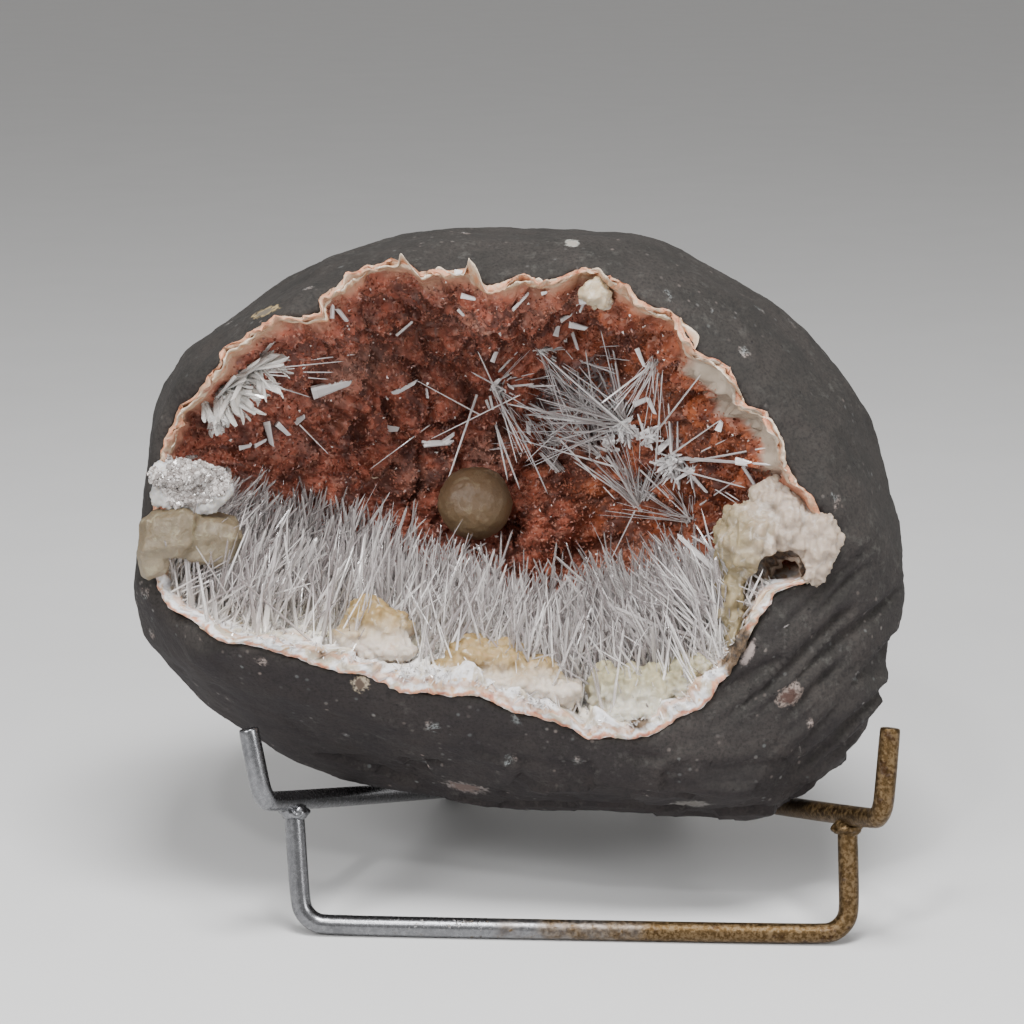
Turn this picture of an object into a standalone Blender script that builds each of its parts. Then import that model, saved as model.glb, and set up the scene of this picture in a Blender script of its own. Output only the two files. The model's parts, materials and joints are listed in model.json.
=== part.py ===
"""A scolecite geode resting on a bent wire stand.

The stone is an egg of grey basalt, dressed in flat facets and broken open at the front.  A crust of small
crystals lines its hollow and carries the calcite lumps, the meadow of needles and the needle sprays.

Most places are given in millimetres in the stone's own view frame: U to the right, V up and W into the
stone, from the rim of the hollow.  That frame leans back from the table by LEAN.
"""

import math
import random

import bmesh
import bpy
from mathutils import Matrix, Vector, noise

MM = 0.001
LEAN = math.radians(12.0)
VIEW_ORIGIN = Vector((-1.14, -35.27, 70.6))
GAP = 0.3

# The stone: its widest outline, clockwise from the right, and how deep that widest line lies at each bearing
GIRTH = [
    (66.9, -15.2), (66.2, 0.3), (63.9, 8.7), (60.8, 17.7), (56.7, 23.8), (49.4, 32.0), (41.1, 38.5),
    (31.0, 44.3), (18.7, 48.6), (4.9, 49.2), (-9.1, 49.1), (-18.5, 48.4), (-27.8, 45.6), (-36.9, 41.5),
    (-47.6, 34.3), (-54.7, 28.9), (-59.6, 23.5), (-62.4, 15.3), (-64.0, 3.9), (-64.7, -8.4),
    (-63.8, -19.7), (-61.3, -25.0), (-55.8, -31.0), (-47.9, -37.0), (-37.4, -43.9), (-25.8, -48.3),
    (-12.6, -50.5), (4.2, -51.0), (21.8, -53.1), (32.0, -53.1), (42.3, -51.3), (55.8, -41.8),
    (61.0, -35.6), (64.2, -26.8),
]
GIRTH_DEPTH = [(0, 36), (60, 38), (120, 40), (180, 42), (240, 46), (270, 34), (300, 18), (330, 22), (360, 36)]
STONE_BACK = 87.0
STONE_BACK_CENTRE = (8.5, 0.0)
CENTRE = (0.0, -2.0)
FACET_LATITUDES = [(-0.84, 11), (-0.62, 15), (-0.36, 17), (0.22, 17), (0.45, 14), (0.68, 10), (0.88, 6)]
FACET_WANDER = 0.28
FACET_SINK = (0.15, 0.9)
FRONT_FACE = -0.8
LEFT_BREAK = [(-44.0, 0.0), (-62.0, 13.0)]

# The rim of the hollow, anticlockwise from the right
RIM = [
    (45.3, 6.2), (44.2, 8.5), (44.0, 11.7), (41.1, 16.3), (38.3, 17.0), (36.0, 21.2), (35.0, 23.6),
    (31.0, 25.3), (29.0, 26.4), (28.2, 28.5), (27.5, 31.6), (25.4, 32.6), (22.7, 33.3), (20.4, 34.6),
    (19.1, 36.0), (16.3, 37.3), (14.0, 39.9), (11.7, 40.3), (8.5, 38.5), (4.9, 37.2), (2.1, 38.5),
    (-2.0, 37.2), (-4.1, 36.7), (-6.4, 38.1), (-7.4, 39.8), (-9.8, 39.3), (-12.7, 39.4), (-15.0, 38.6),
    (-17.4, 40.8), (-19.4, 41.2), (-24.4, 41.1), (-26.4, 39.1), (-28.9, 36.5), (-31.3, 34.6),
    (-30.9, 32.1), (-34.6, 31.5), (-38.5, 31.8), (-42.4, 29.3), (-47.2, 26.4), (-47.9, 23.8),
    (-52.3, 19.2), (-56.4, 17.3), (-58.2, 13.4), (-59.7, 8.2), (-60.6, 2.0), (-61.4, -2.9),
    (-61.3, -7.8), (-60.5, -13.0), (-58.5, -16.3), (-56.2, -17.0), (-52.8, -18.3), (-49.7, -20.0),
    (-47.1, -21.2), (-43.5, -21.7), (-40.6, -22.0), (-37.5, -23.1), (-34.4, -24.1), (-30.0, -25.4),
    (-25.8, -26.1), (-20.2, -27.4), (-18.3, -29.4), (-13.4, -29.3), (-9.3, -29.6), (-5.2, -30.0),
    (-2.2, -31.5), (0.7, -32.6), (6.2, -33.6), (9.8, -35.0), (12.2, -36.8), (15.3, -36.7), (21.4, -36.3),
    (24.4, -35.4), (26.7, -33.3), (30.5, -31.8), (32.8, -29.5), (35.2, -26.1), (38.0, -21.7),
    (39.8, -17.9), (42.4, -13.2), (45.3, -12.0), (48.7, -11.1), (50.5, -9.3), (52.5, -6.5),
    (53.5, -4.1), (51.7, -2.3), (50.2, -0.2), (48.7, 2.4), (46.5, 4.2),
]
HOLLOW_DEPTH = 52.0
HOLLOW_CENTRE = (-2.0, 0.0)
HOLLOW_FLARE = 10.0
HOLLOW_RINGS = [4.0, 16.0, 33.0, 52.0, 72.0]
HOLLOW_BULGE = 0.72
EVEN_SPREAD = 10.0
EVEN_SHARE = 0.98
EVEN_BY_ANGLE = 40.0
POCKET = (13.0, 18.0)
POCKET_RADIUS = 11.0
POCKET_DEPTH = 9.0

# The crust that lines the hollow
CRUST_BACK = [
    (0, 3.5), (40, 2.6), (90, 2.4), (140, 2.6), (180, 4.0), (225, 6.0), (270, 6.5), (315, 6.0), (345, 5.0),
    (360, 3.5),
]
CRUST_LIP = [
    (0, 3.5), (25, 2.6), (60, 1.2), (150, 1.2), (180, 3.0), (215, 4.0), (270, 5.0), (315, 4.0), (340, 3.0),
    (360, 3.5),
]
CRUST_SPARE = 1.5
CRUST_BACK_RINGS = [16.0, 33.0, 52.0, 72.0]
CRUST_RINGS = [3.0, 9.0, 16.0, 23.0, 30.0, 38.0, 46.0, 55.0, 64.0, 74.0]
FULL_THICKNESS_ANGLE = 25.0
FULL_RELIEF_ANGLE = 12.0
THINNEST_CRUST = 1.0
STEP_BEHIND_LIP = 1.2
STEP_PER_RING = 0.6
POLE_THICKNESS = 4.5
LIP_PROUD = 0.9
OUTER_LIP_TEETH = 0.6
INNER_LIP_TEETH = 0.7
DRUSE_RELIEF = 1.7
NEEDLE_HEIGHT = 16.0
NEEDLE_WAY = (0.05, 1.0, -0.12)
NEEDLE_WALL_SHARE = 0.40
NEEDLE_SWAY = 0.08
SHORTEST_NEEDLE_FOOT = 1.8
FIRST_NEEDLE_RING = 1
LAST_NEEDLE_RING = 6
NEEDLE_BEARINGS = (196.0, 336.0)

# What grows out of the crust.  Lumps: centre, size, seed, fineness and roughness.  Blocks and blades: centre,
# size, turn and seed.  Sprays: centre, core radius, then the fan's count, seed, middle, spread and reach.
LUMPS = [
    ((-6.5, 1.6, 41.5), (6.6, 6.6, 6.9), 1, 3, 0.05),
    ((42.6, -3.4, 6.0), (8.6, 8.6, 7.5), 2, 2, 0.35),
    ((39.0, -13.5, 6.5), (4.8, 6.5, 6.0), 3, 2, 0.3),
    ((-22.5, -18.5, 6.5), (6.0, 4.6, 5.5), 4, 2, 0.4),
    ((-3.0, -24.0, 6.0), (7.5, 5.2, 6.0), 5, 2, 0.4),
    ((13.0, -30.0, 5.5), (6.5, 4.5, 5.5), 6, 2, 0.4),
    ((25.0, -28.5, 6.0), (6.5, 5.0, 5.5), 7, 2, 0.4),
    ((13.8, 37.2, 3.0), (3.2, 2.6, 3.4), 8, 2, 0.3),
    ((-54.0, 5.0, 11.0), (6.0, 4.5, 6.0), 9, 2, 0.5),
]
BLOCKS = [
    ((-54.6, -3.6, 9.5), (13.0, 8.6, 12.0), 6.0, 10),
    ((-58.6, -8.4, 10.0), (6.0, 6.0, 8.0), -14.0, 11),
]
SPRAYS = [
    ((18.6, 14.5, 33.0), 3.0, (22, 21, 100.0, 350.0, 19.0)),
    ((28.5, 8.5, 28.0), 2.8, (18, 22, 30.0, 330.0, 15.0)),
    ((-2.5, 21.5, 37.0), 2.2, (12, 23, -60.0, 240.0, 17.0)),
    ((-44.0, 20.5, 12.0), 3.6, (22, 24, 0.0, 300.0, 13.0)),
]
CLOSEST_SPIKE = 0.955
FIRST_SPRAY_SEED = 41
BLADES = [
    (-30.2, 20.8, 29.0, 7.4, 2.8, 14.0), (-18.5, 31.4, 24.0, 3.4, 1.2, 66.0), (-19.0, 18.6, 38.0, 2.8, 1.1, -20.0),
    (-40.5, 12.2, 26.0, 4.4, 1.4, 12.0), (-11.0, 13.2, 40.0, 4.6, 1.6, 4.0), (0.5, 34.6, 20.0, 3.6, 1.0, 4.0),
    (-3.2, 26.8, 33.0, 3.0, 1.0, 70.0), (-6.8, 35.2, 18.0, 2.4, 0.9, 10.0), (9.6, 5.4, 41.0, 2.6, 1.0, 84.0),
    (38.0, 8.2, 22.0, 5.2, 1.3, -8.0), (34.0, 12.6, 20.0, 3.6, 1.1, 60.0),
]
BLADE_SUNK = 4.0
BLADE_DEPTH = 12.0
FIRST_BLADE_SEED = 60

# The stand: one round wire for the cradle and one for the front leg
WIRE = 3.5
WIRE_SIDES = 10
LEFT_TIP = (-42.6, -35.0, -4.5)
LEFT_BEND = (-40.3, -47.1, -3.5)
RIGHT_TIP = (60.6, -34.6, -9.5)
RIGHT_BEND = (59.4, -49.5, -9.0)
LEFT_HEEL = -11.5
RIGHT_HEEL = 29.3
HEEL_DEPTH = 86.0
HEEL_RUN = 10.0
HEEL_TURN_IN = 1.6
BACK_LEAN = math.radians(4.5)
BACK_HEIGHT = 74.0
CRADLE_BENDS = [4.0, 6.0, 4.5, 7.0, 7.0, 4.5, 6.0, 4.0]
LEG_BENDS = [4.5, 4.5]
SHORTEST_LEVEL_RUN = 2.5
BACK_TOP_HALF = 13.0
LEG_LEFT = (-34.9, 9.5)
LEG_RIGHT = (55.6, 4.5)
LEG_CLEARANCE = 0.15


def from_view(u, v, w):
    """The place in the model, in millimetres, of a point in the view frame."""
    across = Vector((1.0, 0.0, 0.0))
    up = Vector((0.0, math.sin(LEAN), math.cos(LEAN)))
    inward = Vector((0.0, math.cos(LEAN), -math.sin(LEAN)))
    return VIEW_ORIGIN + u * across + v * up + w * inward


def table_v(w, height):
    """The V of a point W deep that stands a height above the table."""
    return (height - VIEW_ORIGIN.z + w * math.sin(LEAN)) / math.cos(LEAN)


def blend_table(table, bearing):
    """A value read from a table of (bearing, value), with a smooth change between its rows."""
    bearing %= 360.0
    for (low, first), (high, second) in zip(table, table[1:]):
        if low <= bearing <= high:
            share = (bearing - low) / (high - low)
            share = share * share * (3.0 - 2.0 * share)
            return first + (second - first) * share
    return table[-1][1]


def bearing_of(point, centre=CENTRE):
    return math.degrees(math.atan2(point[1] - centre[1], point[0] - centre[0])) % 360.0


def outline_radius(outline, bearing, centre=CENTRE):
    """How far an outline lies from the centre at a bearing."""
    direction = Vector((math.cos(math.radians(bearing)), math.sin(math.radians(bearing))))
    best = 0.0
    for first, second in zip(outline, outline[1:] + outline[:1]):
        start = Vector(first) - Vector(centre)
        run = Vector(second) - Vector(first)
        cross = direction.x * run.y - direction.y * run.x
        if abs(cross) < 1e-9:
            continue
        reach = (start.x * run.y - start.y * run.x) / cross
        share = (start.x * direction.y - start.y * direction.x) / cross
        if reach > 0.0 and -1e-6 <= share <= 1.0 + 1e-6:
            best = max(best, reach)
    return best


def smooth_radius(outline, bearing, spread):
    """The outline's distance averaged over a spread of bearings."""
    steps = [-1.0, -0.5, 0.0, 0.5, 1.0]
    return sum(outline_radius(outline, bearing + spread * step) for step in steps) / len(steps)


def stone_point(bearing, latitude):
    """A point on the smooth egg: latitude -1 at the hollow's rim, 0 at the girth and 1 at the back."""
    girth = smooth_radius(GIRTH, bearing, 4.0)
    depth = blend_table(GIRTH_DEPTH, bearing)
    ray = Vector((math.cos(math.radians(bearing)), math.sin(math.radians(bearing))))
    turn = abs(latitude) * math.pi / 2.0
    if latitude < 0.0:
        front = 0.94 * smooth_radius(RIM, bearing, 14.0)
        radius = front + (girth - front) * math.cos(turn)
        w = depth * (1.0 - math.sin(turn))
        centre = Vector(CENTRE)
    else:
        radius = girth * math.cos(turn) ** 0.82
        w = depth + (STONE_BACK - depth) * math.sin(turn) ** 1.05
        share = math.sin(turn) ** 2
        centre = Vector(CENTRE).lerp(Vector(STONE_BACK_CENTRE), share)
    place = centre + radius * ray
    return Vector((place.x, place.y, w))


def stone_normal(bearing, latitude):
    across = stone_point(bearing + 3.0, latitude) - stone_point(bearing - 3.0, latitude)
    along = stone_point(bearing, latitude + 0.03) - stone_point(bearing, latitude - 0.03)
    normal = across.cross(along).normalized()
    outward = stone_point(bearing, latitude) - Vector((CENTRE[0], CENTRE[1], 38.0))
    return normal if normal.dot(outward) > 0.0 else -normal


def facet_planes(rng):
    """One plane for each chiselled facet, as a point and the way out of the stone."""
    planes = []
    for first, second in zip(GIRTH, GIRTH[1:] + GIRTH[:1]):
        middle = (Vector(first) + Vector(second)) / 2.0
        run = Vector(second) - Vector(first)
        depth = blend_table(GIRTH_DEPTH, bearing_of(middle))
        normal = Vector((-run.y, run.x, 0.0))
        if normal.dot(Vector((middle.x, middle.y, 0.0))) < 0.0:
            normal = -normal
        normal.normalize()
        normal.z = rng.uniform(-0.06, 0.06)
        planes.append((Vector((middle.x, middle.y, depth)), normal.normalized()))
    for latitude, count in FACET_LATITUDES:
        start = rng.uniform(0.0, 360.0)
        for number in range(count):
            bearing = start + (number + rng.uniform(-FACET_WANDER, FACET_WANDER)) * 360.0 / count
            level = max(-0.93, min(0.97, latitude + rng.uniform(-0.07, 0.07)))
            normal = stone_normal(bearing, level)
            sink = rng.uniform(*FACET_SINK)
            planes.append((stone_point(bearing, level) - sink * normal, normal))
    back = Vector((STONE_BACK_CENTRE[0], 2.0, STONE_BACK))
    planes.append((back, Vector((0.0, 0.05, 1.0)).normalized()))
    (u0, w0), (u1, w1) = LEFT_BREAK
    planes.append((Vector((u0, 0.0, w0)), Vector((w0 - w1, 0.0, u1 - u0)).normalized()))
    planes.append((Vector((0.0, 0.0, FRONT_FACE)), Vector((0.0, 0.0, -1.0))))
    return planes


def dressed_stone(rng):
    """The egg cut from a block, one flat facet at a time."""
    bm = bmesh.new()
    bmesh.ops.create_cube(bm, size=200.0)
    bmesh.ops.translate(bm, vec=(0.0, 0.0, 40.0), verts=bm.verts)
    for place, normal in facet_planes(rng):
        geometry = bm.verts[:] + bm.edges[:] + bm.faces[:]
        cut = bmesh.ops.bisect_plane(bm, geom=geometry, plane_co=place, plane_no=normal, clear_outer=True)
        edges = [item for item in cut["geom_cut"] if isinstance(item, bmesh.types.BMEdge)]
        if edges:
            bmesh.ops.holes_fill(bm, edges=edges)
    bmesh.ops.remove_doubles(bm, verts=bm.verts, dist=0.25)
    bmesh.ops.dissolve_degenerate(bm, edges=bm.edges, dist=0.1)
    bmesh.ops.recalc_face_normals(bm, faces=bm.faces)
    return bm


def hollow_point(place, angle, inset=0.0):
    """A point of the hollow's wall on the ray of one rim point, an angle in degrees from the rim to the pole."""
    turn = math.radians(angle)
    rim = Vector(place) - Vector(HOLLOW_CENTRE)
    even = smooth_radius(RIM, bearing_of(place), EVEN_SPREAD) * EVEN_SHARE
    even_place = Vector(CENTRE) + even * (Vector(place) - Vector(CENTRE)).normalized() - Vector(HOLLOW_CENTRE)
    share = min(1.0, angle / EVEN_BY_ANGLE)
    flat = rim.lerp(even_place, share) * math.cos(turn) ** HOLLOW_BULGE
    w = HOLLOW_DEPTH * math.sin(turn)
    spot = Vector((HOLLOW_CENTRE[0] + flat.x, HOLLOW_CENTRE[1] + flat.y))
    near = (spot - Vector(POCKET)).length / POCKET_RADIUS
    if near < 1.6:
        w += POCKET_DEPTH * math.exp(-near * near * 1.4) * min(1.0, angle / 45.0)
    point = Vector((spot.x, spot.y, w))
    inward = Vector((HOLLOW_CENTRE[0], HOLLOW_CENTRE[1], 4.0)) - point
    if angle < 20.0:
        inward.z *= angle / 20.0
    return point + inset * inward.normalized()


def lip_depth(place):
    """How deep the basalt's broken edge lies at one rim point."""
    bearing = bearing_of(place)
    radius = (Vector(place) - Vector(CENTRE)).length
    front = 0.94 * smooth_radius(RIM, bearing, 14.0)
    girth = smooth_radius(GIRTH, bearing, 4.0)
    share = max(0.0, min(0.9, (radius - front) / max(1.0, girth - front)))
    depth = blend_table(GIRTH_DEPTH, bearing) * (1.0 - math.sqrt(1.0 - share * share))
    (u0, w0), (u1, w1) = LEFT_BREAK
    broken = (place[0] - u0) / (u1 - u0) * w1
    return max(depth, broken, 0.0)


def grid_faces(bm, rings, reverse=False):
    """Quads between rings of the same number of vertices."""
    faces = []
    for lower, upper in zip(rings, rings[1:]):
        row = []
        for i in range(len(lower)):
            j = (i + 1) % len(lower)
            corners = [lower[i], lower[j], upper[j], upper[i]]
            if reverse:
                corners.reverse()
            row.append(bm.faces.new(corners))
        faces.append(row)
    return faces


def rim_points(inset=0.0):
    """The rim's points, each drawn in towards the middle of the hollow."""
    points = []
    for u, v in RIM:
        inward = (Vector(HOLLOW_CENTRE) - Vector((u, v))).normalized()
        points.append(Vector((u, v)) + inset * inward)
    return points


def hollow_form(inset=0.0):
    """The hollow as a closed body that runs out past the rim."""
    bm = bmesh.new()
    rings = []
    for w in (-HOLLOW_FLARE, 0.5):
        rings.append([bm.verts.new((point.x, point.y, w)) for point in rim_points(inset)])
    for angle in HOLLOW_RINGS:
        rings.append([bm.verts.new(hollow_point(place, angle, inset)) for place in RIM])
    grid_faces(bm, rings)
    bm.faces.new(list(reversed(rings[0])))
    pole = bm.verts.new((HOLLOW_CENTRE[0], HOLLOW_CENTRE[1], HOLLOW_DEPTH - inset))
    last = rings[-1]
    for i in range(len(last)):
        bm.faces.new([last[i], last[(i + 1) % len(last)], pole])
    bmesh.ops.triangulate(bm, faces=bm.faces)
    bmesh.ops.recalc_face_normals(bm, faces=bm.faces)
    return bm


def druse_height(point):
    """Lumps and ledges of the red druse, in millimetres off the wall."""
    spot = Vector(point)
    broad = noise.noise(spot * 0.085)
    lumps = 0.5 - noise.voronoi(spot * 0.16)[0][0]
    return DRUSE_RELIEF * (0.8 * broad + 1.1 * lumps)


def crust_body(rng):
    """The lining of the hollow, with its floor drawn out into the meadow of needles."""
    bm = bmesh.new()
    lip = []
    for point, place in zip(rim_points(-CRUST_SPARE), RIM):
        lip.append((point.x, point.y, lip_depth(place) - LIP_PROUD - rng.uniform(0.0, OUTER_LIP_TEETH)))
    outer = [[bm.verts.new(point) for point in lip]]
    for angle in CRUST_BACK_RINGS:
        outer.append([bm.verts.new(hollow_point(place, angle, -CRUST_SPARE)) for place in RIM])
    grid_faces(bm, outer)
    pole = bm.verts.new((HOLLOW_CENTRE[0], HOLLOW_CENTRE[1], HOLLOW_DEPTH + 2.0 * CRUST_SPARE))
    for i in range(len(RIM)):
        bm.faces.new([outer[-1][i], outer[-1][(i + 1) % len(RIM)], pole])
    inner = []
    for number, angle in enumerate([0.0] + CRUST_RINGS):
        ring = []
        for i, place in enumerate(RIM):
            bearing = bearing_of(place)
            thin = blend_table(CRUST_LIP, bearing)
            full = blend_table(CRUST_BACK, bearing)
            thick = thin + (full - thin) * min(1.0, angle / FULL_THICKNESS_ANGLE)
            if number == 0:
                away = (Vector(place) - Vector(HOLLOW_CENTRE)).normalized() * (GAP + thick)
                depth = lip[i][2] + rng.uniform(0.0, INNER_LIP_TEETH)
                point = Vector((place[0] - away.x, place[1] - away.y, depth))
            else:
                relief = druse_height(hollow_point(place, angle, GAP))
                thick += max(-0.75 * thick, relief) * min(1.0, angle / FULL_RELIEF_ANGLE)
                point = hollow_point(place, angle, GAP + max(THINNEST_CRUST, thick))
                point.z = max(point.z, lip[i][2] + STEP_BEHIND_LIP + STEP_PER_RING * number)
            ring.append(bm.verts.new(point))
        inner.append(ring)
    grid_faces(bm, [outer[0], inner[0]], reverse=True)
    rows = grid_faces(bm, inner, reverse=True)
    top = bm.verts.new((HOLLOW_CENTRE[0], HOLLOW_CENTRE[1], HOLLOW_DEPTH - POLE_THICKNESS))
    for i in range(len(RIM)):
        bm.faces.new([inner[-1][(i + 1) % len(RIM)], inner[-1][i], top])
    floor = [face for row in rows[FIRST_NEEDLE_RING:LAST_NEEDLE_RING] for face in row]
    floor = [face for face in floor if on_floor(face)]
    bmesh.ops.recalc_face_normals(bm, faces=bm.faces)
    raise_needles(bm, floor, rng)
    bmesh.ops.triangulate(bm, faces=bm.faces)
    bmesh.ops.recalc_face_normals(bm, faces=bm.faces)
    return bm


def on_floor(face):
    low, high = NEEDLE_BEARINGS
    return low <= bearing_of(face.calc_center_median()) <= high


def raise_needles(bm, faces, rng):
    """Each floor face is drawn out to the tip of a needle."""
    for face in faces:
        if min(edge.calc_length() for edge in face.edges) < SHORTEST_NEEDLE_FOOT:
            continue
        middle = face.calc_center_median()
        wall = face.normal
        growth = Vector(NEEDLE_WAY) + NEEDLE_WALL_SHARE * Vector((max(0.0, wall.x), wall.y, wall.z))
        sway = rng.uniform(-NEEDLE_SWAY, NEEDLE_SWAY)
        growth += Vector((sway, 0.0, rng.uniform(-NEEDLE_SWAY, NEEDLE_SWAY)))
        height = NEEDLE_HEIGHT * rng.uniform(0.72, 1.08)
        tip = bmesh.ops.poke(bm, faces=[face])["verts"][0]
        tip.co = middle + growth.normalized() * height


def spiked_ball(centre, radius, spikes, seed):
    """A core whose faces near each spike's direction are drawn out into a crystal."""
    rng = random.Random(seed)
    bm = bmesh.new()
    bmesh.ops.create_icosphere(bm, subdivisions=2, radius=radius)
    for vert in bm.verts:
        vert.co *= rng.uniform(0.88, 1.12)
    taken = set()
    for direction, length in spikes:
        way = Vector(direction).normalized()
        best = max(bm.faces, key=lambda f: -9.0 if f in taken else f.calc_center_median().normalized().dot(way))
        if best.calc_center_median().normalized().dot(way) < CLOSEST_SPIKE:
            continue
        poked = bmesh.ops.poke(bm, faces=[best])
        poked["verts"][0].co = way * length
        taken.update(poked["faces"])
    bmesh.ops.translate(bm, vec=centre, verts=bm.verts)
    bmesh.ops.recalc_face_normals(bm, faces=bm.faces)
    return bm


def fan(count, seed, middle, spread, reach):
    """Directions and lengths of a spray about a middle direction in the view frame."""
    rng = random.Random(seed)
    spikes = []
    for number in range(count):
        turn = math.radians(middle + spread * ((number + 0.5) / count - 0.5) + rng.uniform(-6.0, 6.0))
        lift = rng.uniform(-0.75, 0.05)
        spikes.append(((math.cos(turn), math.sin(turn), lift), reach * rng.uniform(0.6, 1.0)))
    return spikes


def crystal_block(centre, size, turn, seed):
    """A crystal with six flat faces that are not quite square to each other."""
    rng = random.Random(seed)
    bm = bmesh.new()
    bmesh.ops.create_cube(bm, size=1.0)
    for vert in bm.verts:
        vert.co.x *= size[0] * rng.uniform(0.85, 1.1)
        vert.co.y *= size[1] * rng.uniform(0.85, 1.1)
        vert.co.z *= size[2] * rng.uniform(0.85, 1.1)
    bmesh.ops.rotate(bm, cent=(0, 0, 0), matrix=Matrix.Rotation(math.radians(turn), 3, "Z"), verts=bm.verts)
    bmesh.ops.translate(bm, vec=centre, verts=bm.verts)
    return bm


def lump(centre, size, seed, fineness, roughness):
    """A rounded lump with an uneven skin."""
    bm = bmesh.new()
    bmesh.ops.create_icosphere(bm, subdivisions=fineness, radius=1.0)
    for vert in bm.verts:
        swell = 1.0 + roughness * noise.noise(vert.co * 2.3 + Vector((seed * 7.1, 0.0, 0.0)))
        vert.co = Vector((vert.co.x * size[0], vert.co.y * size[1], vert.co.z * size[2])) * swell
    bmesh.ops.translate(bm, vec=centre, verts=bm.verts)
    return bm


def crust_growths():
    """The calcite, the needle sprays and the white blades that grow out of the lining."""
    growths = [lump(*row) for row in LUMPS] + [crystal_block(*row) for row in BLOCKS]
    for number, (centre, radius, spread) in enumerate(SPRAYS):
        growths.append(spiked_ball(centre, radius, fan(*spread), FIRST_SPRAY_SEED + number))
    for number, (u, v, w, length, width, turn) in enumerate(BLADES):
        place, size = (u, v, w + BLADE_SUNK), (length, width, BLADE_DEPTH)
        growths.append(crystal_block(place, size, turn, FIRST_BLADE_SEED + number))
    return growths


def object_from(bm, name, in_view=True):
    """An object from a mesh in millimetres, of the view frame, which is left-handed, or of the model."""
    if in_view:
        bmesh.ops.reverse_faces(bm, faces=bm.faces)
    for vert in bm.verts:
        place = from_view(*vert.co) if in_view else vert.co
        vert.co = place * MM
    mesh = bpy.data.meshes.new(name)
    bm.to_mesh(mesh)
    bm.free()
    item = bpy.data.objects.new(name, mesh)
    bpy.context.scene.collection.objects.link(item)
    return item


def as_cutter(item):
    item.hide_render = True
    item.display_type = "WIRE"
    return item


def combine(item, other, operation):
    modifier = item.modifiers.new(other.name, "BOOLEAN")
    modifier.operation = operation
    modifier.solver = "EXACT"
    modifier.object = as_cutter(other)
    return modifier


def rounded_path(corners, radii, step_degrees=22.0):
    """A run of straight wire with each corner bent to a radius."""
    points = [corners[0]]
    for number in range(1, len(corners) - 1):
        before, corner, after = corners[number - 1], corners[number], corners[number + 1]
        first = (before - corner).normalized()
        second = (after - corner).normalized()
        opening = first.angle(second)
        bend = math.pi - opening
        radius = radii[number - 1]
        setback = radius * math.tan(bend / 2.0)
        centre = corner + (first + second).normalized() * (radius / math.cos(bend / 2.0))
        start = corner + first * setback - centre
        axis = start.cross(corner + second * setback - centre).normalized()
        steps = max(1, round(math.degrees(bend) / step_degrees))
        for step in range(steps + 1):
            points.append(centre + Matrix.Rotation(bend * step / steps, 3, axis) @ start)
    points.append(corners[-1])
    return points


def roll_to_table(tangent, side):
    """How far a ring turns about its wire for one flat side to face the table."""
    down = Vector((0.0, 0.0, -1.0))
    down = (down - down.dot(tangent) * tangent).normalized()
    return math.atan2(tangent.dot(side.cross(down)), side.dot(down))


def bent_wire(points, level_at):
    """A wire with flat sides along a path, one side level with the table at each numbered point."""
    tangents = []
    for number in range(len(points)):
        before = points[max(0, number - 1)]
        after = points[min(len(points) - 1, number + 1)]
        tangents.append((after - before).normalized())
    side = tangents[0].orthogonal().normalized()
    sides = [side]
    for before, after in zip(tangents, tangents[1:]):
        side = before.rotation_difference(after) @ side
        side = (side - side.dot(after) * after).normalized()
        sides.append(side)
    flat = 2.0 * math.pi / WIRE_SIDES
    first, last = level_at[0], level_at[-1]
    first_roll = roll_to_table(tangents[first], sides[first])
    twist = roll_to_table(tangents[last], sides[last]) - first_roll
    twist -= flat * round(twist / flat)
    bm = bmesh.new()
    rings = []
    for index, (place, tangent, side) in enumerate(zip(points, tangents, sides)):
        share = max(0.0, min(1.0, (index - first) / max(1, last - first)))
        ring = []
        for number in range(WIRE_SIDES):
            turn = first_roll + twist * share + (number + 0.5) * flat
            ring.append(bm.verts.new(place + Matrix.Rotation(turn, 3, tangent) @ side * (WIRE / 2.0)))
        rings.append(ring)
    grid_faces(bm, rings)
    bm.faces.new(list(reversed(rings[0])))
    bm.faces.new(rings[-1])
    bmesh.ops.recalc_face_normals(bm, faces=bm.faces)
    return bm


def with_level_runs(points):
    """The path with two more points on each run along the table, and the numbers of the first of each two."""
    path, level_at = [points[0]], []
    for before, after in zip(points, points[1:]):
        if max(before.z, after.z) < WIRE / 2.0 and (after - before).length > SHORTEST_LEVEL_RUN:
            level_at.append(len(path))
            path.append(before.lerp(after, 0.2))
            path.append(before.lerp(after, 0.8))
        path.append(after)
    return path, level_at


def cradle_corners():
    """The cradle wire from the left prong's tip, under the stone, up behind it and back to the right prong."""
    level = WIRE / 2.0 * math.cos(math.pi / WIRE_SIDES)
    heel_v = table_v(HEEL_DEPTH, level)
    left_toe = from_view(LEFT_HEEL, heel_v, HEEL_DEPTH)
    right_toe = from_view(RIGHT_HEEL, heel_v, HEEL_DEPTH)
    left_heel = left_toe + Vector((HEEL_TURN_IN, HEEL_RUN, 0.0))
    right_heel = right_toe + Vector((-HEEL_TURN_IN, HEEL_RUN, 0.0))
    rise = Vector((0.0, math.tan(BACK_LEAN), 1.0)) * (BACK_HEIGHT - level)
    middle = (left_heel + right_heel) / 2.0
    top = middle + rise
    half = Vector((BACK_TOP_HALF, 0.0, 0.0))
    return [
        from_view(*LEFT_TIP), from_view(*LEFT_BEND), left_toe, left_heel, top - half,
        top + half, right_heel, right_toe, from_view(*RIGHT_BEND), from_view(*RIGHT_TIP),
    ]


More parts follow.
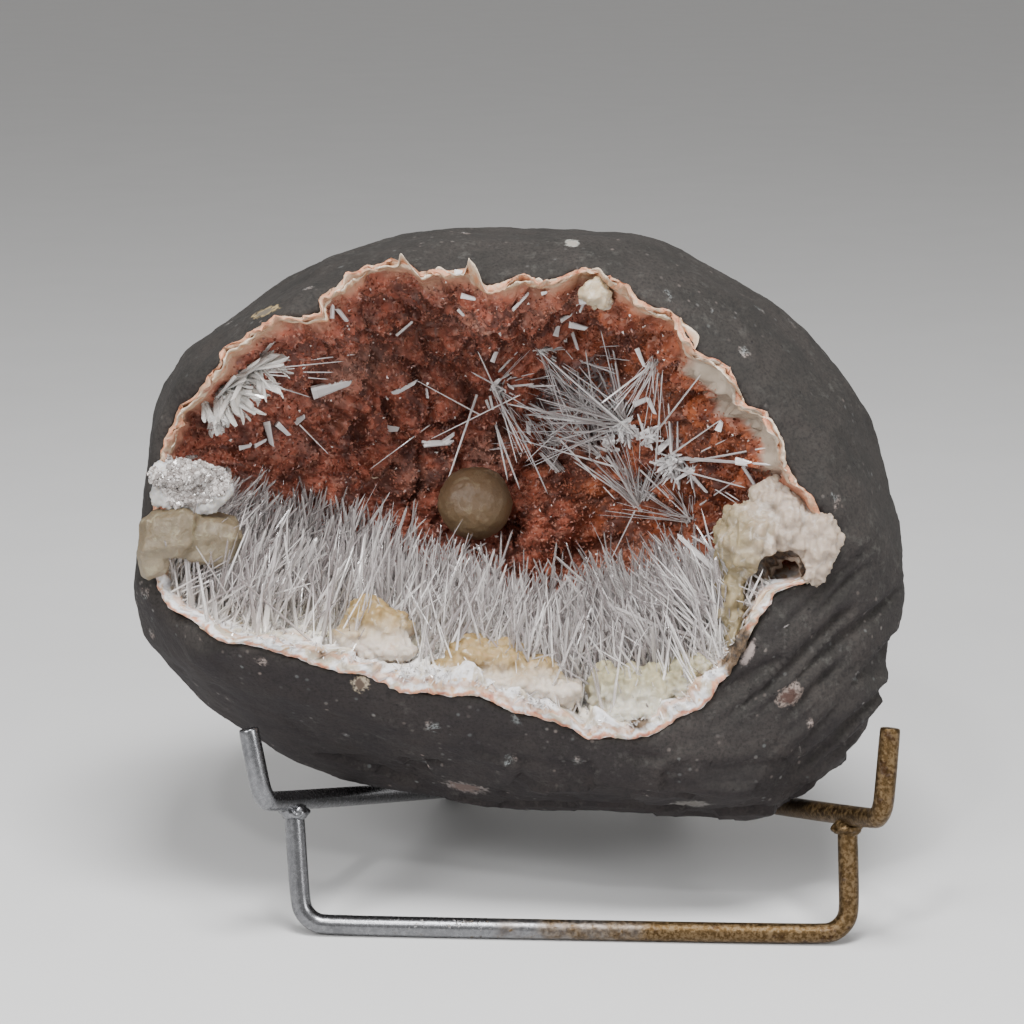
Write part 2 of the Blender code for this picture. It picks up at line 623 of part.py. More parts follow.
def arm_point(start, heel_u, w):
    """The centre of an arm W deep, in the view frame."""
    heel_v = table_v(HEEL_DEPTH, WIRE / 2.0 * math.cos(math.pi / WIRE_SIDES))
    share = (w - start[2]) / (HEEL_DEPTH - start[2])
    return start[0] + (heel_u - start[0]) * share, start[1] + (heel_v - start[1]) * share


def leg_corners():
    """The front leg: a bar on the table and two uprights that end under the arms."""
    level = WIRE / 2.0 * math.cos(math.pi / WIRE_SIDES)
    below = (WIRE + GAP) / 2.0 + LEG_CLEARANCE
    left_u, left_w = LEG_LEFT
    right_u, right_w = LEG_RIGHT
    left_top = arm_point(LEFT_BEND, LEFT_HEEL, left_w)
    right_top = arm_point(RIGHT_BEND, RIGHT_HEEL, right_w)
    return [
        from_view(left_top[0], left_top[1] - below, left_w),
        from_view(left_u, table_v(left_w, level), left_w),
        from_view(right_u, table_v(right_w, level), right_w),
        from_view(right_top[0], right_top[1] - below, right_w),
    ]


def material(name, colour, roughness, metallic=0.0):
    finish = bpy.data.materials.new(name)
    finish.use_nodes = True
    shader = finish.node_tree.nodes["Principled BSDF"]
    shader.inputs["Base Color"].default_value = (*colour, 1.0)
    shader.inputs["Roughness"].default_value = roughness
    shader.inputs["Metallic"].default_value = metallic
    return finish


def make_basalt():
    stone = object_from(dressed_stone(random.Random(7)), "basalt_shell")
    combine(stone, object_from(hollow_form(), "hollow_cutter"), "DIFFERENCE")
    stone.data.materials.append(material("basalt", (0.11, 0.105, 0.11), 0.85))
    return stone


def make_crust():
    crust = object_from(crust_body(random.Random(11)), "crystal_crust")
    for number, growth in enumerate(crust_growths()):
        combine(crust, object_from(growth, f"growth_{number:02d}"), "UNION")
    combine(crust, object_from(hollow_form(GAP), "hollow_mould"), "INTERSECT")
    crust.data.materials.append(material("crystal", (0.72, 0.66, 0.56), 0.35))
    return crust


def make_stand():
    path = rounded_path(cradle_corners(), CRADLE_BENDS)
    path, level_at = with_level_runs(path)
    cradle = object_from(bent_wire(path, level_at), "stand_cradle", in_view=False)
    path, level_at = with_level_runs(rounded_path(leg_corners(), LEG_BENDS))
    leg = object_from(bent_wire(path, level_at), "stand_front_leg", in_view=False)
    steel = material("steel_wire", (0.42, 0.42, 0.42), 0.38, 1.0)
    for item in (cradle, leg):
        item.data.materials.append(steel)
        item.data.shade_smooth()
        item.data.set_sharp_from_angle(angle=math.radians(50.0))
    return cradle, leg


for old in list(bpy.data.objects):
    bpy.data.objects.remove(old, do_unlink=True)
make_basalt()
make_crust()
make_stand()
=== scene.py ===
"""A scolecite geode on a bent wire stand.

An egg of grey basalt is broken open on a hollow.  A rind, a red druse and lumps of calcite line the hollow, a
meadow of scolecite needles covers its floor, and sprays and chips of the same crystal stand out from its wall.
"""

import json
import math
import random

import bmesh
import bpy
import numpy as np
from mathutils import Matrix, Vector, noise
from mathutils.bvhtree import BVHTree

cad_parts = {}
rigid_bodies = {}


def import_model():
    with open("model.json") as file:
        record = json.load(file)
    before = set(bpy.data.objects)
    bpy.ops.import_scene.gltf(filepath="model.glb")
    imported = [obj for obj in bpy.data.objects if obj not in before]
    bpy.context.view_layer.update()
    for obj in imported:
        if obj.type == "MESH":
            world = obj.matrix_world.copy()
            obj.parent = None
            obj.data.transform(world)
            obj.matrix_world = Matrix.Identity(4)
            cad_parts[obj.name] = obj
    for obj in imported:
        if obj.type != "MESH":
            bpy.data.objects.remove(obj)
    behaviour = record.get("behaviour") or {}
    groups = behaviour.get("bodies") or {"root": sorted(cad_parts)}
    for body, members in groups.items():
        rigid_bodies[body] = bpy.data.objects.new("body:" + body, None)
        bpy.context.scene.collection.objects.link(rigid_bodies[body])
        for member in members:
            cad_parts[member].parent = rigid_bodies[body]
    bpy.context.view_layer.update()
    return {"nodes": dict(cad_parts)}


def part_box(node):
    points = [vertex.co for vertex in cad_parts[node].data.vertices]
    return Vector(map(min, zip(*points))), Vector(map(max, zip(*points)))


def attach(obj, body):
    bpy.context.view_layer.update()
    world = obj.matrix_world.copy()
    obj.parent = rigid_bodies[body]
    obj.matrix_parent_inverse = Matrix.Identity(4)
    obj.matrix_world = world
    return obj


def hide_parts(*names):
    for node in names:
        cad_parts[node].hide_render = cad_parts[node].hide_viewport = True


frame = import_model()
MM = 0.001


# Basalt shell
# A nodule of fine grey basalt with small mineral fillings, weathered smooth and dressed in flat facets.
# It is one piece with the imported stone, whose faces it follows, and carries every crystal in its hollow.

LEAN = math.radians(12.0)
RIM_CENTRE = Vector((-1.14, -35.27, 70.6))
ACROSS = Vector((1.0, 0.0, 0.0))
UP = Vector((0.0, math.sin(LEAN), math.cos(LEAN)))
INWARD = Vector((0.0, math.cos(LEAN), -math.sin(LEAN)))
BASALT_GRAIN = 0.90
WORN_DEPTHS = (2.5, 9.0)
WORN_PASSES = 16
SAW_REGION = (52.0, -24.0, 22.0)
SAW_ANGLE = math.radians(40.0)
EYE_DISTANCE = 550.0
PIXEL_MM = 0.163
PICTURE_MIDDLE = 512
FILLING_DEPTH = 6.0
FILLINGS = [
    ((265, 312), (3.0, 0.9), 12.0, (0.34, 0.25, 0.12), (0.12, 0.10, 0.075)),
    ((360, 684), (1.7, 1.5), 0.0, (0.40, 0.33, 0.24), (0.085, 0.060, 0.045)),
    ((465, 787), (4.1, 1.4), -8.0, (0.19, 0.165, 0.155), (0.115, 0.080, 0.070)),
    ((572, 243), (1.4, 0.8), 0.0, (0.30, 0.30, 0.27), (0.24, 0.22, 0.19)),
    ((790, 697), (2.5, 1.8), 20.0, (0.20, 0.155, 0.135), (0.050, 0.026, 0.020)),
    ((690, 804), (3.6, 0.9), 0.0, (0.16, 0.15, 0.14), (0.12, 0.11, 0.10)),
    ((748, 652), (1.2, 2.6), -25.0, (0.20, 0.165, 0.155), (0.22, 0.18, 0.165)),
]


def from_view(u, v, w):
    """A place in metres from millimetres right, up and into the stone, as the hollow faces the viewer."""
    return (RIM_CENTRE + u * ACROSS + v * UP + w * INWARD) * MM


def to_view(place):
    """Millimetres right, up and into the stone of a place in metres."""
    offset = Vector(place) / MM - RIM_CENTRE
    return Vector((offset.dot(ACROSS), offset.dot(UP), offset.dot(INWARD)))


def pixel_place(x, y):
    """Millimetres right and up of the middle of the rim plane, from a pixel of the picture."""
    return (x - PICTURE_MIDDLE) * PIXEL_MM, (PICTURE_MIDDLE - y) * PIXEL_MM


def merged_mesh(node):
    """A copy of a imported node's mesh with its loose triangles joined."""
    bm = bmesh.new()
    bm.from_mesh(frame["nodes"][node].data)
    bmesh.ops.remove_doubles(bm, verts=bm.verts, dist=1e-6)
    return bm


def piece_from(bm, name, smooth=True):
    """A finished piece in the scene, made from a mesh in metres."""
    mesh = bpy.data.meshes.new(name)
    bm.to_mesh(mesh)
    bm.free()
    piece = bpy.data.objects.new(name, mesh)
    bpy.context.scene.collection.objects.link(piece)
    for polygon in mesh.polygons:
        polygon.use_smooth = smooth
    return piece


def settled(piece):
    """The piece's modifiers made part of its mesh."""
    graph = bpy.context.evaluated_depsgraph_get()
    mesh = bpy.data.meshes.new_from_object(piece.evaluated_get(graph))
    piece.modifiers.clear()
    piece.data = mesh
    return piece


def smooth_step(low, high, value):
    share = max(0.0, min(1.0, (value - low) / (high - low)))
    return share * share * (3.0 - 2.0 * share)


class Wire:
    """A shader socket on which arithmetic adds Math nodes."""

    def __init__(self, tree, socket):
        self.tree = tree
        self.socket = socket

    def node(self, kind, settings=None, ramp=None, out=0, **sockets):
        """Another node: its settings first, then the values or links of its sockets."""
        made = self.tree.nodes.new(kind)
        for key, value in (settings or {}).items():
            setattr(made, key, value)
        if ramp:
            while len(made.color_ramp.elements) < len(ramp):
                made.color_ramp.elements.new(0.5)
            for element, (place, colour) in zip(made.color_ramp.elements, ramp):
                element.position = place
                element.color = colour if len(colour) == 4 else (*colour, 1.0)
        for key, value in sockets.items():
            name = key.replace("_", " ")
            socket = made.inputs[int(key[1:])] if key[0] == "i" and key[1:].isdigit() else made.inputs[name]
            if isinstance(value, Wire):
                self.tree.links.new(value.socket, socket)
            else:
                socket.default_value = value
        return Wire(self.tree, made.outputs[out])

    def sum(self, operation, other, third=None, clamp=False):
        sockets = {"i0": self, "i1": other}
        if third is not None:
            sockets["i2"] = third
        return self.node("ShaderNodeMath", {"operation": operation, "use_clamp": clamp}, **sockets)

    def __add__(self, other):
        return self.sum("ADD", other)

    def __radd__(self, other):
        return self.sum("ADD", other)

    def __sub__(self, other):
        return self.sum("SUBTRACT", other)

    def __rsub__(self, other):
        return self.node("ShaderNodeMath", {"operation": "SUBTRACT"}, i0=other, i1=self)

    def __mul__(self, other):
        return self.sum("MULTIPLY", other)

    def __rmul__(self, other):
        return self.sum("MULTIPLY", other)

    def __pow__(self, other):
        return self.sum("POWER", other)

    def step(self, low, high):
        """A smooth rise from 0 at low to 1 at high."""
        return self.node("ShaderNodeMapRange", {"interpolation_type": "SMOOTHSTEP"}, Value=self,
                         From_Min=low, From_Max=high)

    def mix(self, first, second):
        """A colour between two, this socket being the share of the second."""
        made = self.tree.nodes.new("ShaderNodeMix")
        made.data_type = "RGBA"
        for socket, value in ((made.inputs[0], self), (made.inputs[6], first), (made.inputs[7], second)):
            if isinstance(value, Wire):
                self.tree.links.new(value.socket, socket)
            else:
                socket.default_value = value if len(value) == 4 else (*value, 1.0)
        return Wire(self.tree, made.outputs[2])

    def noise(self, scale, detail=3.0, roughness=0.55, distortion=0.0):
        """Noise at this place, with a scale in waves a metre."""
        return self.node("ShaderNodeTexNoise", Vector=self, Scale=scale, Detail=detail, Roughness=roughness,
                         Distortion=distortion)

    def cells(self, scale, feature="F1", out=0, randomness=1.0):
        return self.node("ShaderNodeTexVoronoi", {"feature": feature}, out=out, Vector=self, Scale=scale,
                         Randomness=randomness)

    def bump(self, strength, distance, onto=None):
        sockets = {"Height": self, "Strength": strength, "Distance": distance}
        if onto is not None:
            sockets["Normal"] = onto
        return self.node("ShaderNodeBump", **sockets)


def finish_named(name, **constants):
    """A new material with its constants set, and a wire on which its pattern starts: the place on the piece."""
    material = bpy.data.materials.new(name)
    material.use_nodes = True
    tree = material.node_tree
    shader = tree.nodes["Principled BSDF"]
    for key, value in constants.items():
        shader.inputs[key.replace("_", " ")].default_value = value
    place = Wire(tree, tree.nodes.new("ShaderNodeTexCoord").outputs["Object"])
    return material, shader, place


def feed(shader, **wires):
    for key, wire in wires.items():
        wire.tree.links.new(wire.socket, shader.inputs[key.replace("_", " ")])


def filling_reach(place, pixel, size, turn):
    """How far a place is from the middle of a mineral filling, 1 at its edge."""
    start = from_view(0.0, 0.0, -EYE_DISTANCE)
    middle = stone_tree.ray_cast(start, (from_view(*pixel_place(*pixel), 0.0) - start).normalized())[0]
    axes = Matrix((ACROSS, UP, ACROSS.cross(UP))).transposed()
    turned = (axes @ Matrix.Rotation(math.radians(turn), 3, "Z")).to_euler()
    local = place.node("ShaderNodeMapping", {"vector_type": "TEXTURE"}, Vector=place, Location=middle,
                       Rotation=turned, Scale=(size[0] * MM, size[1] * MM, FILLING_DEPTH * MM))
    return local.node("ShaderNodeVectorMath", {"operation": "LENGTH"}, out=1, i0=local)


def basalt_finish():
    material, shader, place = finish_named("basalt", Specular_IOR_Level=0.35)
    tree = place.tree
    normal = Wire(tree, tree.nodes.new("ShaderNodeNewGeometry").outputs["Normal"])
    height = place.node("ShaderNodeSeparateXYZ", out=2, Vector=normal)
    # Faces that look up are painted lighter, partly with the dust of the dressed top and partly as painted light from
    # above. Faces that look down are painted darker as painted shade.
    facing_up_lit_dusty = height.step(-0.75, 0.55)
    mottle = place.noise(140.0, 5.0, 0.6)
    grain = place.noise(1900.0, 4.0, 0.7)
    colour = facing_up_lit_dusty.mix((0.016, 0.012, 0.013), (0.018, 0.016, 0.014))
    colour = mottle.step(0.3, 0.75).mix(colour, facing_up_lit_dusty.mix((0.025, 0.019, 0.018), (0.030, 0.025, 0.022)))
    colour = (grain.step(0.42, 0.66) * 0.65).mix(colour, (0.006, 0.005, 0.005))
    dusty = place.noise(520.0, 5.0, 0.75).step(0.52, 0.70) * place.noise(60.0, 2.0).step(0.35, 0.6)
    colour = (dusty * 0.55).mix(colour, facing_up_lit_dusty.mix((0.058, 0.052, 0.048), (0.062, 0.060, 0.054)))
    wander = place.node("ShaderNodeVectorMath", {"operation": "ADD"}, i0=place,
                        i1=place.node("ShaderNodeVectorMath", {"operation": "SCALE"}, i0=place.node(
                            "ShaderNodeTexNoise", out=1, Vector=place, Scale=700.0, Detail=4.0), Scale=0.0030))
    clusters = place.noise(85.0, 3.0).step(0.44, 0.68) * (1.0 - facing_up_lit_dusty * 0.45)
    few = place.node("ShaderNodeSeparateColor", out=0, Color=place.cells(640.0, out=1)).step(0.60, 0.66)
    small = (1.0 - place.cells(640.0).step(0.10, 0.30)) * few * clusters
    large = 1.0 - wander.cells(150.0).step(0.05, 0.22)
    picked = place.node("ShaderNodeSeparateColor", out=0, Color=place.cells(150.0, out=1)).step(0.62, 0.66)
    broken = place.noise(2300.0, 3.0, 0.7).step(0.40, 0.60)
    specks = (small * 0.55).sum("MAXIMUM", large * picked * broken * 0.9)
    pale = place.noise(300.0).step(0.4, 0.62).mix((0.20, 0.22, 0.22), (0.34, 0.27, 0.24))
    colour = (specks * 0.8).mix(colour, pale)
    pits = 1.0 - place.cells(330.0).step(0.05, 0.12)
    deep = place.node("ShaderNodeSeparateColor", out=1, Color=place.cells(330.0, out=1)).step(0.72, 0.76)
    holes = pits * deep
    # Painted shade: the pits are painted near black inside.
    colour = (holes * 0.9).mix(colour, (0.012, 0.010, 0.010))
    ragged = (place.noise(900.0, 3.0, 0.6) - 0.5) * 1.3
    whole = place.noise(1300.0, 3.0, 0.6).step(0.34, 0.56) * 0.9
    for pixel, size, turn, ring, heart in FILLINGS:
        reach = filling_reach(place, pixel, size, turn) + ragged
        colour = ((1.0 - reach.step(0.72, 1.05)) * whole).mix(colour, ring)
        colour = (1.0 - reach.step(0.42, 0.74)).mix(colour, heart)
    rough = place.noise(430.0, 4.0, 0.7)
    relief = grain * 0.5 + rough * 0.9 + mottle * 0.6 - holes * 2.0 + specks * 0.25
    feed(shader, Base_Color=colour, Roughness=0.86 - specks * 0.3, Normal=relief.bump(0.55, 0.0004))
    return material


def basalt_relief(place):
    """How far the stone's skin stands off its facet, in millimetres, at a place in the view frame."""
    u, v, w = place
    relief = 0.30 * noise.noise(place * 0.10) + 0.17 * noise.fractal(place * 0.30, 1.0, 2.0, 4)
    relief += 0.07 * noise.noise(place * 1.3) - 0.35 * smooth_step(0.25, 0.5, noise.noise(place * 0.16))
    centre_u, centre_v, reach = SAW_REGION
    near = 1.0 - smooth_step(0.55, 1.15, math.hypot(u - centre_u, v - centre_v) / reach)
    if near > 0.0 and w < 45.0:
        along = u * math.cos(SAW_ANGLE) + v * math.sin(SAW_ANGLE)
        across = -u * math.sin(SAW_ANGLE) + v * math.cos(SAW_ANGLE)
        across += 1.2 * noise.noise(Vector((along * 0.05, across * 0.1, 3.0)))
        cut = noise.noise(Vector((along * 0.045, across * 0.34, 9.0)))
        fine = noise.noise(Vector((along * 0.07, across * 0.9, 5.0)))
        relief -= near * (1.15 * smooth_step(0.10, 0.34, abs(cut)) + 0.40 * abs(fine))
    chips = smooth_step(-34.0, -44.0, v) * (1.0 - smooth_step(26.0, 34.0, w))
    if chips > 0.0:
        steps = noise.cell(Vector((u * 0.10 + noise.noise(place * 0.09), v * 0.22, w * 0.16)))
        relief -= 0.75 * chips * steps
    return relief


stone = merged_mesh("basalt_shell")
eye = from_view(-2.0, 0.0, 8.0)
hollow_faces = [face for face in stone.faces if face.normal.dot(eye - face.calc_center_median()) > 0.0]
hollow_set = set(hollow_faces)
rim_loop = {vert for edge in stone.edges if len({face in hollow_set for face in edge.link_faces}) == 2
            for vert in edge.verts}
rim_line = sorted((to_view(vert.co) for vert in rim_loop),
                  key=lambda p: math.atan2(p.y, p.x + 2.0) % math.tau)
stone_tree = BVHTree.FromBMesh(stone)
stone.verts.ensure_lookup_table()
hollow_tree = BVHTree.FromPolygons([vert.co.copy() for vert in stone.verts],
                                   [[vert.index for vert in face.verts] for face in hollow_faces])
basalt = piece_from(stone, "basalt_stone")
grain = basalt.modifiers.new("even_faces", "REMESH")
grain.mode = "VOXEL"
grain.voxel_size = BASALT_GRAIN * MM
settled(basalt)
worn = basalt.vertex_groups.new(name="worn")
for vertex in basalt.data.vertices:
    worn.add([vertex.index], smooth_step(*WORN_DEPTHS, to_view(vertex.co).z), "REPLACE")
soften = basalt.modifiers.new("worn_edges", "SMOOTH")
soften.factor = 0.5
soften.iterations = WORN_PASSES
soften.vertex_group = worn.name
settled(basalt)
normals = [vertex.normal.copy() for vertex in basalt.data.vertices]
for vertex, normal in zip(basalt.data.vertices, normals):
    vertex.co += normal * (basalt_relief(to_view(vertex.co)) * MM)
for polygon in basalt.data.polygons:
    polygon.use_smooth = True
basalt.data.materials.clear()
basalt.data.materials.append(basalt_finish())
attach(basalt, "root")
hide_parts("basalt_shell")


# Lining of the hollow
# A chalky rind against the basalt, then a crust of red-brown druse, white and cream under the needles.
# It grew on the wall of the hollow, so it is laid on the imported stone's wall, thickest along the floor.

LINING_COLUMNS = 560
LINING_ROWS = 164
BACK_SHARE = 0.03
LIP_SHARE = 0.075
EYE = Vector((-2.0, 0.0, 8.0))
LINING_SINK = 0.25
LIP_THICKNESS = [(0, 1.2), (25, 1.0), (60, 0.8), (150, 0.85), (180, 1.8), (215, 3.2), (270, 4.2), (315, 3.6),
                 (338, 1.8), (346, 0.8), (360, 1.2)]
WALL_THICKNESS = [(0, 3.4), (40, 2.4), (90, 2.2), (140, 2.4), (180, 3.6), (225, 5.2), (270, 5.8), (315, 5.2),
                  (345, 4.6), (360, 3.4)]
FLOOR_LINE = [(-70, 3.0), (-55, -1.0), (-45, -5.0), (-30, -9.0), (-18, -14.5), (0, -19.5), (12, -20.0),
              (26, -16.5), (35, -12.0), (50, -9.0)]
FLAP_BEARINGS = (6.0, 10.0, 36.0, 41.0)
POCKET_PLACE = (12.5, 18.5)
EARTH_AND_SHADE_PLACES = [(37.6, -23.5, 3.2, 5.6), (20.8, -34.3, 1.8, 1.3), (-31.0, -23.3, 0.5, 0.9)]
VIEW = Matrix((
    (ACROSS.x * MM, UP.x * MM, INWARD.x * MM, RIM_CENTRE.x * MM),
    (ACROSS.y * MM, UP.y * MM, INWARD.y * MM, RIM_CENTRE.y * MM),
    (ACROSS.z * MM, UP.z * MM, INWARD.z * MM, RIM_CENTRE.z * MM),
    (0.0, 0.0, 0.0, 1.0)))


def seated(bm):
    """A mesh made in the view frame, in millimetres, brought to its place in the geode."""
    bmesh.ops.transform(bm, matrix=VIEW, verts=bm.verts)
    bmesh.ops.reverse_faces(bm, faces=bm.faces)
    return bm


def read_table(table, value):
    """A value read from a table, with a smooth change between its rows."""
    for (low, first), (high, second) in zip(table, table[1:]):
        if low <= value <= high:
            return first + (second - first) * smooth_step(low, high, value)
    return table[0][1] if value < table[0][0] else table[-1][1]


def rim_at(bearing):
    """The basalt's edge on a ray from the middle of the hollow, in the view frame."""
    ray = Vector((math.cos(bearing), math.sin(bearing)))
    start = Vector((EYE.x, EYE.y))
    for first, second in zip(rim_line, rim_line[1:] + rim_line[:1]):
        a = first.xy - start
        run = second.xy - first.xy
        cross = ray.x * run.y - ray.y * run.x
        if abs(cross) < 1e-9:
            continue
        share = (a.x * ray.y - a.y * ray.x) / cross
        reach = (a.x * run.y - a.y * run.x) / cross
        if reach > 0.0 and -1e-6 <= share <= 1.000001:
            return first.lerp(second, share)
    return rim_line[0]


def knobs(place, size, seam):
    """Rounded knobs about as wide as size with sharp creases between them, from -1 in a crease to 1."""
    near, far = noise.voronoi(place / size)[0][:2]
    return 2.0 * smooth_step(0.0, seam, far - near) * (1.0 - 0.55 * near) - 1.0


def lining_relief(place):
    """Lumps, ledges and small crystals of the druse, in millimetres off the wall."""
    bent = place + 2.2 * noise.noise_vector(place * 0.11) + 0.5 * noise.noise_vector(place * 0.5)
    broad = noise.noise(place * 0.06 + Vector((4.0, 0.0, 0.0)))
    ledge = noise.noise(Vector((bent.x * 0.07 + bent.y * 0.05, bent.y * 0.21 - bent.x * 0.06, bent.z * 0.05)))
    relief = 1.5 * broad + 1.6 * smooth_step(-0.15, 0.1, ledge) + 1.75 * knobs(bent, 8.5, 0.28)
    relief += 0.72 * knobs(bent + Vector((3.0, 7.0, 1.0)), 3.4, 0.35)
    return relief + 0.22 * knobs(place, 1.15, 0.4) + 0.16 * noise.noise(place * 1.9)


def boss_height(place):
    """The orange boss at the foot of the back wall."""
    reach = (Vector((place.x - 9.5, (place.y + 3.4) * 1.25, 0.0))).length
    return 5.0 * (1.0 - smooth_step(3.0, 9.5, reach)) if place.z > 20.0 else 0.0


def floor_share(place):
    """1 on the floor that the needles cover, 0 on the red wall."""
    line = read_table(FLOOR_LINE, place.x) + 1.6 * noise.noise(place * 0.2)
    return 1.0 - smooth_step(line - 1.0, line + 1.5, place.y)


def hollow_hit(way, rim, sink):
    """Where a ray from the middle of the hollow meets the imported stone's wall, in the view frame."""
    direction = (from_view(*(EYE + way)) - from_view(*EYE)).normalized()
    hit = hollow_tree.ray_cast(from_view(*EYE), direction)[0]
    place = to_view(hit) if hit is not None else rim.copy()
    return place + way * sink


def rind_proud(rim):
    """How far the rind's crest stands in front of the basalt's edge."""
    crest = 1.0 + 1.5 * noise.noise(rim * 0.28) + 0.8 * noise.noise(rim * 1.1) + 0.4 * noise.noise(rim * 3.1)
    return max(0.25, crest)


def earth_and_shade_share(place):
    """1 in the brown earthy gap under the right lump and in the small pits along the front, whose darkest parts are
    painted shade.
    """
    reach = min(math.hypot((place.x - u) / width, (place.y - v) / height) for u, v, width, height in EARTH_AND_SHADE_PLACES)
    return 1.0 - smooth_step(0.75, 1.1, reach + 0.5 * noise.noise(place * 0.6))


def lining_point(bearing, share, rim):
    """A place on the lining and its distance from the basalt's edge: its hidden back, its lip, then its face."""
    degrees = math.degrees(bearing) % 360.0
    outward = Vector((rim.x - EYE.x, rim.y - EYE.y, 0.0)).normalized()
    thin = read_table(LIP_THICKNESS, degrees) * (1.0 + 0.9 * max(-0.45, noise.noise(rim * 0.22)))
    ruffle = 1.5 * noise.noise(rim * 0.24 + Vector((9.0, 2.0, 0.0))) + 0.65 * noise.noise(rim * 0.8) + 0.2
    ruffle += 0.22 * noise.noise(rim * 2.3) + 0.5 * noise.noise(Vector((rim.x * 1.3, rim.y * 1.3, share * 70.0)))
    proud = rind_proud(rim)
    if share < BACK_SHARE:
        turn = 1.0 - share / BACK_SHARE
        way = (rim - EYE).normalized().slerp(Vector((0.0, 0.0, 1.0)), min(0.999, turn))
        return hollow_hit(way, rim, LINING_SINK), 0.0
    if share < LIP_SHARE:
        turn = (share - BACK_SHARE) / (LIP_SHARE - BACK_SHARE)
        swell = math.sin(math.pi * (0.06 + 0.56 * turn)) ** 0.6
        crest = rim + outward * (LINING_SINK - thin * turn + ruffle * swell)
        pebbled = 0.7 * noise.noise(Vector((rim.x * 0.9, rim.y * 0.9, share * 90.0)))
        return crest - Vector((0.0, 0.0, (proud + pebbled) * swell)), thin * turn
    turn = (share - LIP_SHARE) / (1.0 - LIP_SHARE)
    way = (rim - EYE).normalized().slerp(Vector((0.0, 0.0, 1.0)), min(0.9995, turn))
    wall = hollow_hit(way, rim, 0.0)
    full = read_table(WALL_THICKNESS, degrees)
    deep = smooth_step(0.0, 0.16, turn)
    thick = thin + (full * (1.0 - turn) + 3.4 * turn - thin) * deep
    thick += (thin - LINING_SINK - ruffle * 0.5 - thick) * (1.0 - smooth_step(0.0, 0.02, turn))
    floor = floor_share(wall)
    relief = lining_relief(wall) * (1.0 - 0.25 * floor) + boss_height(wall)
    relief += floor * (0.8 * knobs(wall * 1.0 + Vector((5.0, 1.0, 2.0)), 2.3, 0.4) + 0.5 * noise.noise(wall * 0.9))
    thick = max(0.5 * thin + 0.3, thick + relief * smooth_step(0.0, 0.06, turn))
    place = wall + (EYE - wall).normalized() * thick
    return place, thin + math.hypot(place.x - rim.x, place.y - rim.y) * smooth_step(0.0, 0.04, turn)


def flap_share(bearing, inward, place):
    """1 on the thin sheet of white chalk inside the right rim."""
    first, full, last, end = FLAP_BEARINGS
    degrees = math.degrees(bearing)
    reach = 4.6 + 1.6 * noise.noise(place * 0.22)
    along = smooth_step(first, full, degrees) * (1.0 - smooth_step(last, end, degrees))
    return along * (1.0 - smooth_step(reach - 0.5, reach + 0.3, inward))


def pocket_share(place):
    """1 in the grey pocket behind the sprays."""
    reach = math.hypot(place.x - POCKET_PLACE[0], place.y - POCKET_PLACE[1]) + 2.0 * noise.noise(place * 0.3)
    return 1.0 - smooth_step(6.0, 9.0, reach)


def attribute(place, name):
    made = place.node("ShaderNodeAttribute", {"attribute_name": name}, out=2)
    return made


def druse_colour(place):
    """Red-brown sugar, more orange to the right, with pink-grey knobs."""
    across = place.node("ShaderNodeSeparateXYZ", out=0, Vector=place)
    patches = place.noise(75.0, 4.0, 0.6)
    orange = (across + (patches - 0.5) * 0.06).step(-0.004, 0.026)
    red = place.noise(260.0, 4.0, 0.65).step(0.32, 0.7).mix((0.120, 0.029, 0.018), (0.38, 0.100, 0.056))
    warm = place.noise(220.0, 4.0, 0.65).step(0.3, 0.72).mix((0.130, 0.023, 0.009), (0.38, 0.097, 0.031))
    colour = orange.mix(red, warm)
    pink = place.noise(48.0, 3.0, 0.5).step(0.54, 0.72) * 0.6
    return pink.mix(colour, (0.33, 0.185, 0.14))


